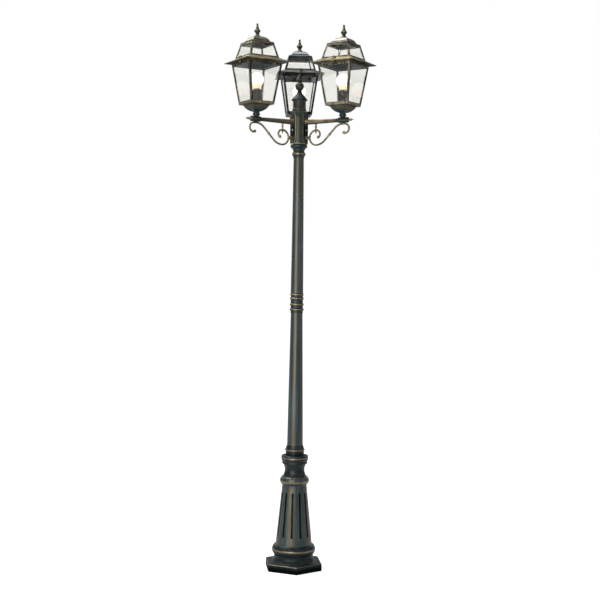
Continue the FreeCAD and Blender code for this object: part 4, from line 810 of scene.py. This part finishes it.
@dataclass(frozen=True)
class LanternCoat:
    """What differs between the finishes of one lantern and another."""

    bronze_share: float             # share of bronze on its open faces; a low share paints the shade of a lantern behind the post
    sheen: str                 # tint of a softbox's reflection in its frames
    roof_gloss: float
    roof_lacquer: float
    dome_sheen: str
    dome_lacquer: float


# The two in front are well rubbed; the one behind gets little bronze and a grey sheen, which paint the shade
# it stands in behind the post, and its roof shows the sky.
FRONT_COAT = LanternCoat(0.4, "d9cdb2", 0.55, 0.0, "e6dfd2", 0.35)
REAR_COAT_WITH_PAINTED_SHADE = LanternCoat(0.08, "8a9696", 1.0, 0.6, "dfe6f0", 1.0)
LANTERNS = {"left": FRONT_COAT, "right": FRONT_COAT, "rear": REAR_COAT_WITH_PAINTED_SHADE}


@dataclass
class Lantern:
    """One lantern without its lamp: seat, bowl, cage and panes, and the lift-off roof.

    Rail and brim are given as the height of their middle over the piece's foot and half their width, metres.
    """

    name: str
    coat: LanternCoat
    rail: Pair = (0.0065, 0.010)
    brim: Pair = (0.015, 0.016)
    well_rubbed: float = 0.2       # share of bronze from which rail and brim show a gold crown

    def finishes(self) -> dict[str, Finish]:
        """Choose the finish of each piece.

        Returns:
            Finish by the piece's name within the lantern.
        """
        rubbed = self.coat.bronze_share > self.well_rubbed
        # Cage: nearly black bars with long streaks of dull bronze on their outside, paler on the bottom rail.
        cage = RubbedPatina(self.name + "_cage_patina", paint="0f181b", cool="16262b", bronze="ab9e82",
                            bright="c9bc9c", sheen=self.coat.sheen, dusting=self.coat.bronze_share,
                            edging=2 * self.coat.bronze_share, edge_reach=1.2, hollow_reach=9.0,
                            crowns=beads(self.name + "_cage", self.rail) if rubbed else (), rub=Rub.UPRIGHT,
                            patches=(0.56, 0.74), fleck=0.3, brush=0.7, axis=axis_of(self.name + "_cage"),
                            gloss=0.5)
        # Roof frame: the same coat rubbed round the brim, its gold band broken by short level streaks.
        roof = replace(cage, name=self.name + "_roof_patina", rub=Rub.LEVEL, stroke=4.0, patches=(0.5, 0.7),
                       wear=(0.32, 0.78), fleck=0.4, brush=0.6, gloss=self.coat.roof_gloss,
                       lacquer=self.coat.roof_lacquer,
                       crowns=beads(self.name + "_roof_frame", self.brim) if rubbed else ())
        # Dome: lacquered, so that the side towards the sky turns pale while the other stays brown.
        dome = RubbedPatina(self.name + "_dome_patina", sheen=self.coat.dome_sheen,
                            dusting=0.6 * self.coat.bronze_share, edge_reach=1.2, patches=(0.45, 0.75),
                            roughness=0.3, gloss=0.9, lacquer=self.coat.dome_lacquer)
        return {"lantern_seat": COLLAR_COAT, "bowl": BOWL_COAT, "cage": cage, "body_panes": PANE,
                "roof_frame": roof, "roof_panes": PANE, "dome": dome, "finial": FINIAL_COAT,
                "thumb_nut_a": NUT_METAL, "thumb_nut_b": NUT_METAL}

    def build(self) -> None:
        """Dress the lantern."""
        for part, finish in self.finishes().items():
            dress(self.name + "_" + part, finish)


# --- studio -----------------------------------------------------------------------------------------------
@dataclass(frozen=True)
class Softbox:
    """A soft rectangular lamp; lengths in metres."""

    name: str
    place: Triple
    aim: Triple
    sides: Pair                # width and height
    power: float               # watts

    def hang(self) -> None:
        """Hang the lamp at its place, facing what it aims at."""
        light = bpy.data.lights.new(self.name, "AREA")
        light.shape = "RECTANGLE"
        light.size, light.size_y = self.sides
        light.energy = self.power
        holder = bpy.data.objects.new(self.name, light)
        bpy.context.scene.collection.objects.link(holder)
        holder.location = self.place
        holder.rotation_euler = (Vector(self.aim) - Vector(self.place)).to_track_quat("-Z", "Y").to_euler()


# Each stands clear of the directions that the front panes mirror, so that the glass stays clear.
SOFTBOXES = (
    # Wide and low, left of the camera: the broad light down the columns.
    Softbox("key", (-1.8, -3.9, 1.6), (0, 0, 1.2), (3.4, 3.0), 152),
    # Narrow, right of the camera and right of the post: the thin second lights.
    Softbox("side", (2.4, -3.3, 2.3), (0, 0, 1.6), (1.1, 2.6), 11),
    Softbox("right", (4.0, -0.7, 2.3), (0, 0, 1.7), (1.0, 2.6), 16),
    # Overhead, and high on the left: the pale domes and the tops of brims and beads.
    Softbox("top", (-0.5, 0.2, 4.7), (0, 0, 2.2), (1.6, 3.4), 85),
    Softbox("sky", (-1.7, 0.9, 4.4), (-0.1, 0, 2.2), (2.6, 2.0), 90),
    # Behind: thin lights along the outlines.
    Softbox("rear_left", (-1.9, 3.6, 2.6), (0, 0, 1.5), (1.0, 2.6), 20),
    Softbox("rear_right", (2.4, 3.6, 2.4), (0, 0, 1.4), (1.0, 2.6), 16),
)


@dataclass
class Studio:
    """Pale floor, soft lights and the camera at the photograph's place; lengths in metres."""

    camera_place: Triple = (-0.0577, -5.0914, 1.3143)
    camera_yaw: float = -0.0141            # radians, to the right of the front when negative
    camera_pitch: float = -0.0225          # radians, downwards when negative
    camera_roll: float = 0.0133            # radians, the top of the picture leans right
    focal_pixels: float = 1141.6
    sight: float = 200.0                   # how far the camera sees
    sensor: float = 36.0                   # millimetres
    floor_side: float = 80.0
    floor_drop: float = 0.0002             # how far the floor lies under the foot
    floor_clouds: float = 400.0            # millimetres across a cloud in the paper
    paper: tuple[str, str] = ("c6c6c6", "cbcbcb")
    paper_roughness: float = 0.9
    paper_gloss: float = 0.1
    glow_reach: Pair = (0.6, 5.0)          # distances over which the floor's glow rises from near to far
    near_glow: float = 0.66
    far_glow: float = 1.0
    world_light: float = 0.1
    floor_behind: Pair = (-0.6, 0.4)       # depths between which metal starts to mirror the glowing floor
    floor_mirrored: float = 0.5            # share of that glow that metal mirrors
    world_behind: Pair = (0.35, 0.85)      # the same for the backdrop, as the rays' lean to the back
    world_mirrored: float = 0.4

    def build(self) -> None:
        """Make the floor, the world, the lamps and the camera."""
        self.make_floor()
        self.make_world()
        for softbox in SOFTBOXES:
            softbox.hang()
        self.make_camera()

    @staticmethod
    def seen(add: Callable[..., Socket], behind: Socket, mirrored: float) -> Socket:
        """Find the rays that meet the white background.

        Args:
            add: Adds a node to the tree.
            behind: How far behind the post the place lies, nought to one.
            mirrored: Share of the white that metal mirrors there.

        Returns:
            One for the camera and through glass, the given share for metal, nought for light on the post.
        """
        share = add("Math", (behind, mirrored), operation="MULTIPLY")
        gloss = add("Math", (add("LightPath", output="Is Glossy Ray"), share), operation="MULTIPLY")
        glass = add("Math", (gloss, add("LightPath", output="Is Transmission Ray")), operation="MAXIMUM")
        return add("Math", (add("LightPath", output="Is Camera Ray"), glass), operation="MAXIMUM")

    def make_floor(self) -> None:
        """Lay pale paper that shows white to the camera and keeps the shadow."""
        bpy.ops.mesh.primitive_plane_add(size=self.floor_side, location=(0, 0, -self.floor_drop))
        bpy.ops.object.transform_apply(location=True)
        floor = bpy.context.object
        floor.name = "floor"
        material, add = new_material("floor_paper")
        darker, paler = (linear(colour) for colour in self.paper)
        tone = add("Mix", {0: pattern(add, self.floor_clouds), 6: darker, 7: paler}, 2, data_type="RGBA")
        paper = add("BsdfPrincipled", {"Base Color": tone, "Roughness": self.paper_roughness,
                                       "Specular IOR Level": self.paper_gloss})
        place = add("TexCoord", output="Object")
        depth = add("SeparateXYZ", (place,), output="Y")
        behind = add("MapRange", (depth, *self.floor_behind), interpolation_type="SMOOTHSTEP")
        away = add("VectorMath", (place,), output="Value", operation="LENGTH")
        away = add("MapRange", (away, *self.glow_reach), interpolation_type="SMOOTHSTEP")
        glow = add("MapRange", (away, 0.0, 1.0, self.near_glow, self.far_glow))
        strength = add("Math", (self.seen(add, behind, self.floor_mirrored), glow), operation="MULTIPLY")
        shine = add("Emission", {"Color": (1, 1, 1, 1), "Strength": strength})
        add("OutputMaterial", {"Surface": add("AddShader", (paper, shine))})
        floor.data.materials.append(material)

    def make_world(self) -> None:
        """Make plain soft light all round, with a white backdrop behind the post for what looks at it."""
        world = bpy.data.worlds.new("studio")
        bpy.context.scene.world = world
        world.use_nodes = True
        world.node_tree.nodes.clear()
        add = partial(add_node, world.node_tree)
        lean = add("SeparateXYZ", (add("TexCoord", output="Generated"),), output="Y")
        behind = add("MapRange", (lean, *self.world_behind), interpolation_type="SMOOTHSTEP")
        seen = self.seen(add, behind, self.world_mirrored)
        strength = add("MapRange", (seen, 0.0, 1.0, self.world_light, 1.0))
        light = add("Background", {"Color": (1, 1, 1, 1), "Strength": strength})
        add("OutputWorld", {"Surface": light})

    def make_camera(self) -> None:
        """Stand the camera where the photograph was taken from."""
        data = bpy.data.cameras.new("camera")
        data.sensor_width = self.sensor
        data.lens = self.focal_pixels / IMAGE_SIDE * self.sensor
        data.clip_end = self.sight
        camera = bpy.data.objects.new("camera", data)
        bpy.context.scene.collection.objects.link(camera)
        level = math.cos(self.camera_pitch)
        ahead = Vector((-math.sin(self.camera_yaw) * level, math.cos(self.camera_yaw) * level,
                        math.sin(self.camera_pitch)))
        camera.rotation_mode = "QUATERNION"
        roll = Matrix.Rotation(self.camera_roll, 4, "Z").to_quaternion()
        camera.rotation_quaternion = ahead.to_track_quat("-Z", "Y") @ roll
        camera.location = self.camera_place
        bpy.context.scene.camera = camera


def main() -> None:
    """Build every sub-assembly in order."""
    logging.basicConfig(level=logging.INFO, format="%(name)s: %(message)s")
    Post().build()
    for name, coat in LANTERNS.items():
        Arm(name).build()
        Lantern(name, coat).build()
    LampSet().build()
    Studio().build()
    bpy.context.scene.view_settings.view_transform = "Standard"


if __name__ == "__main__":
    main()
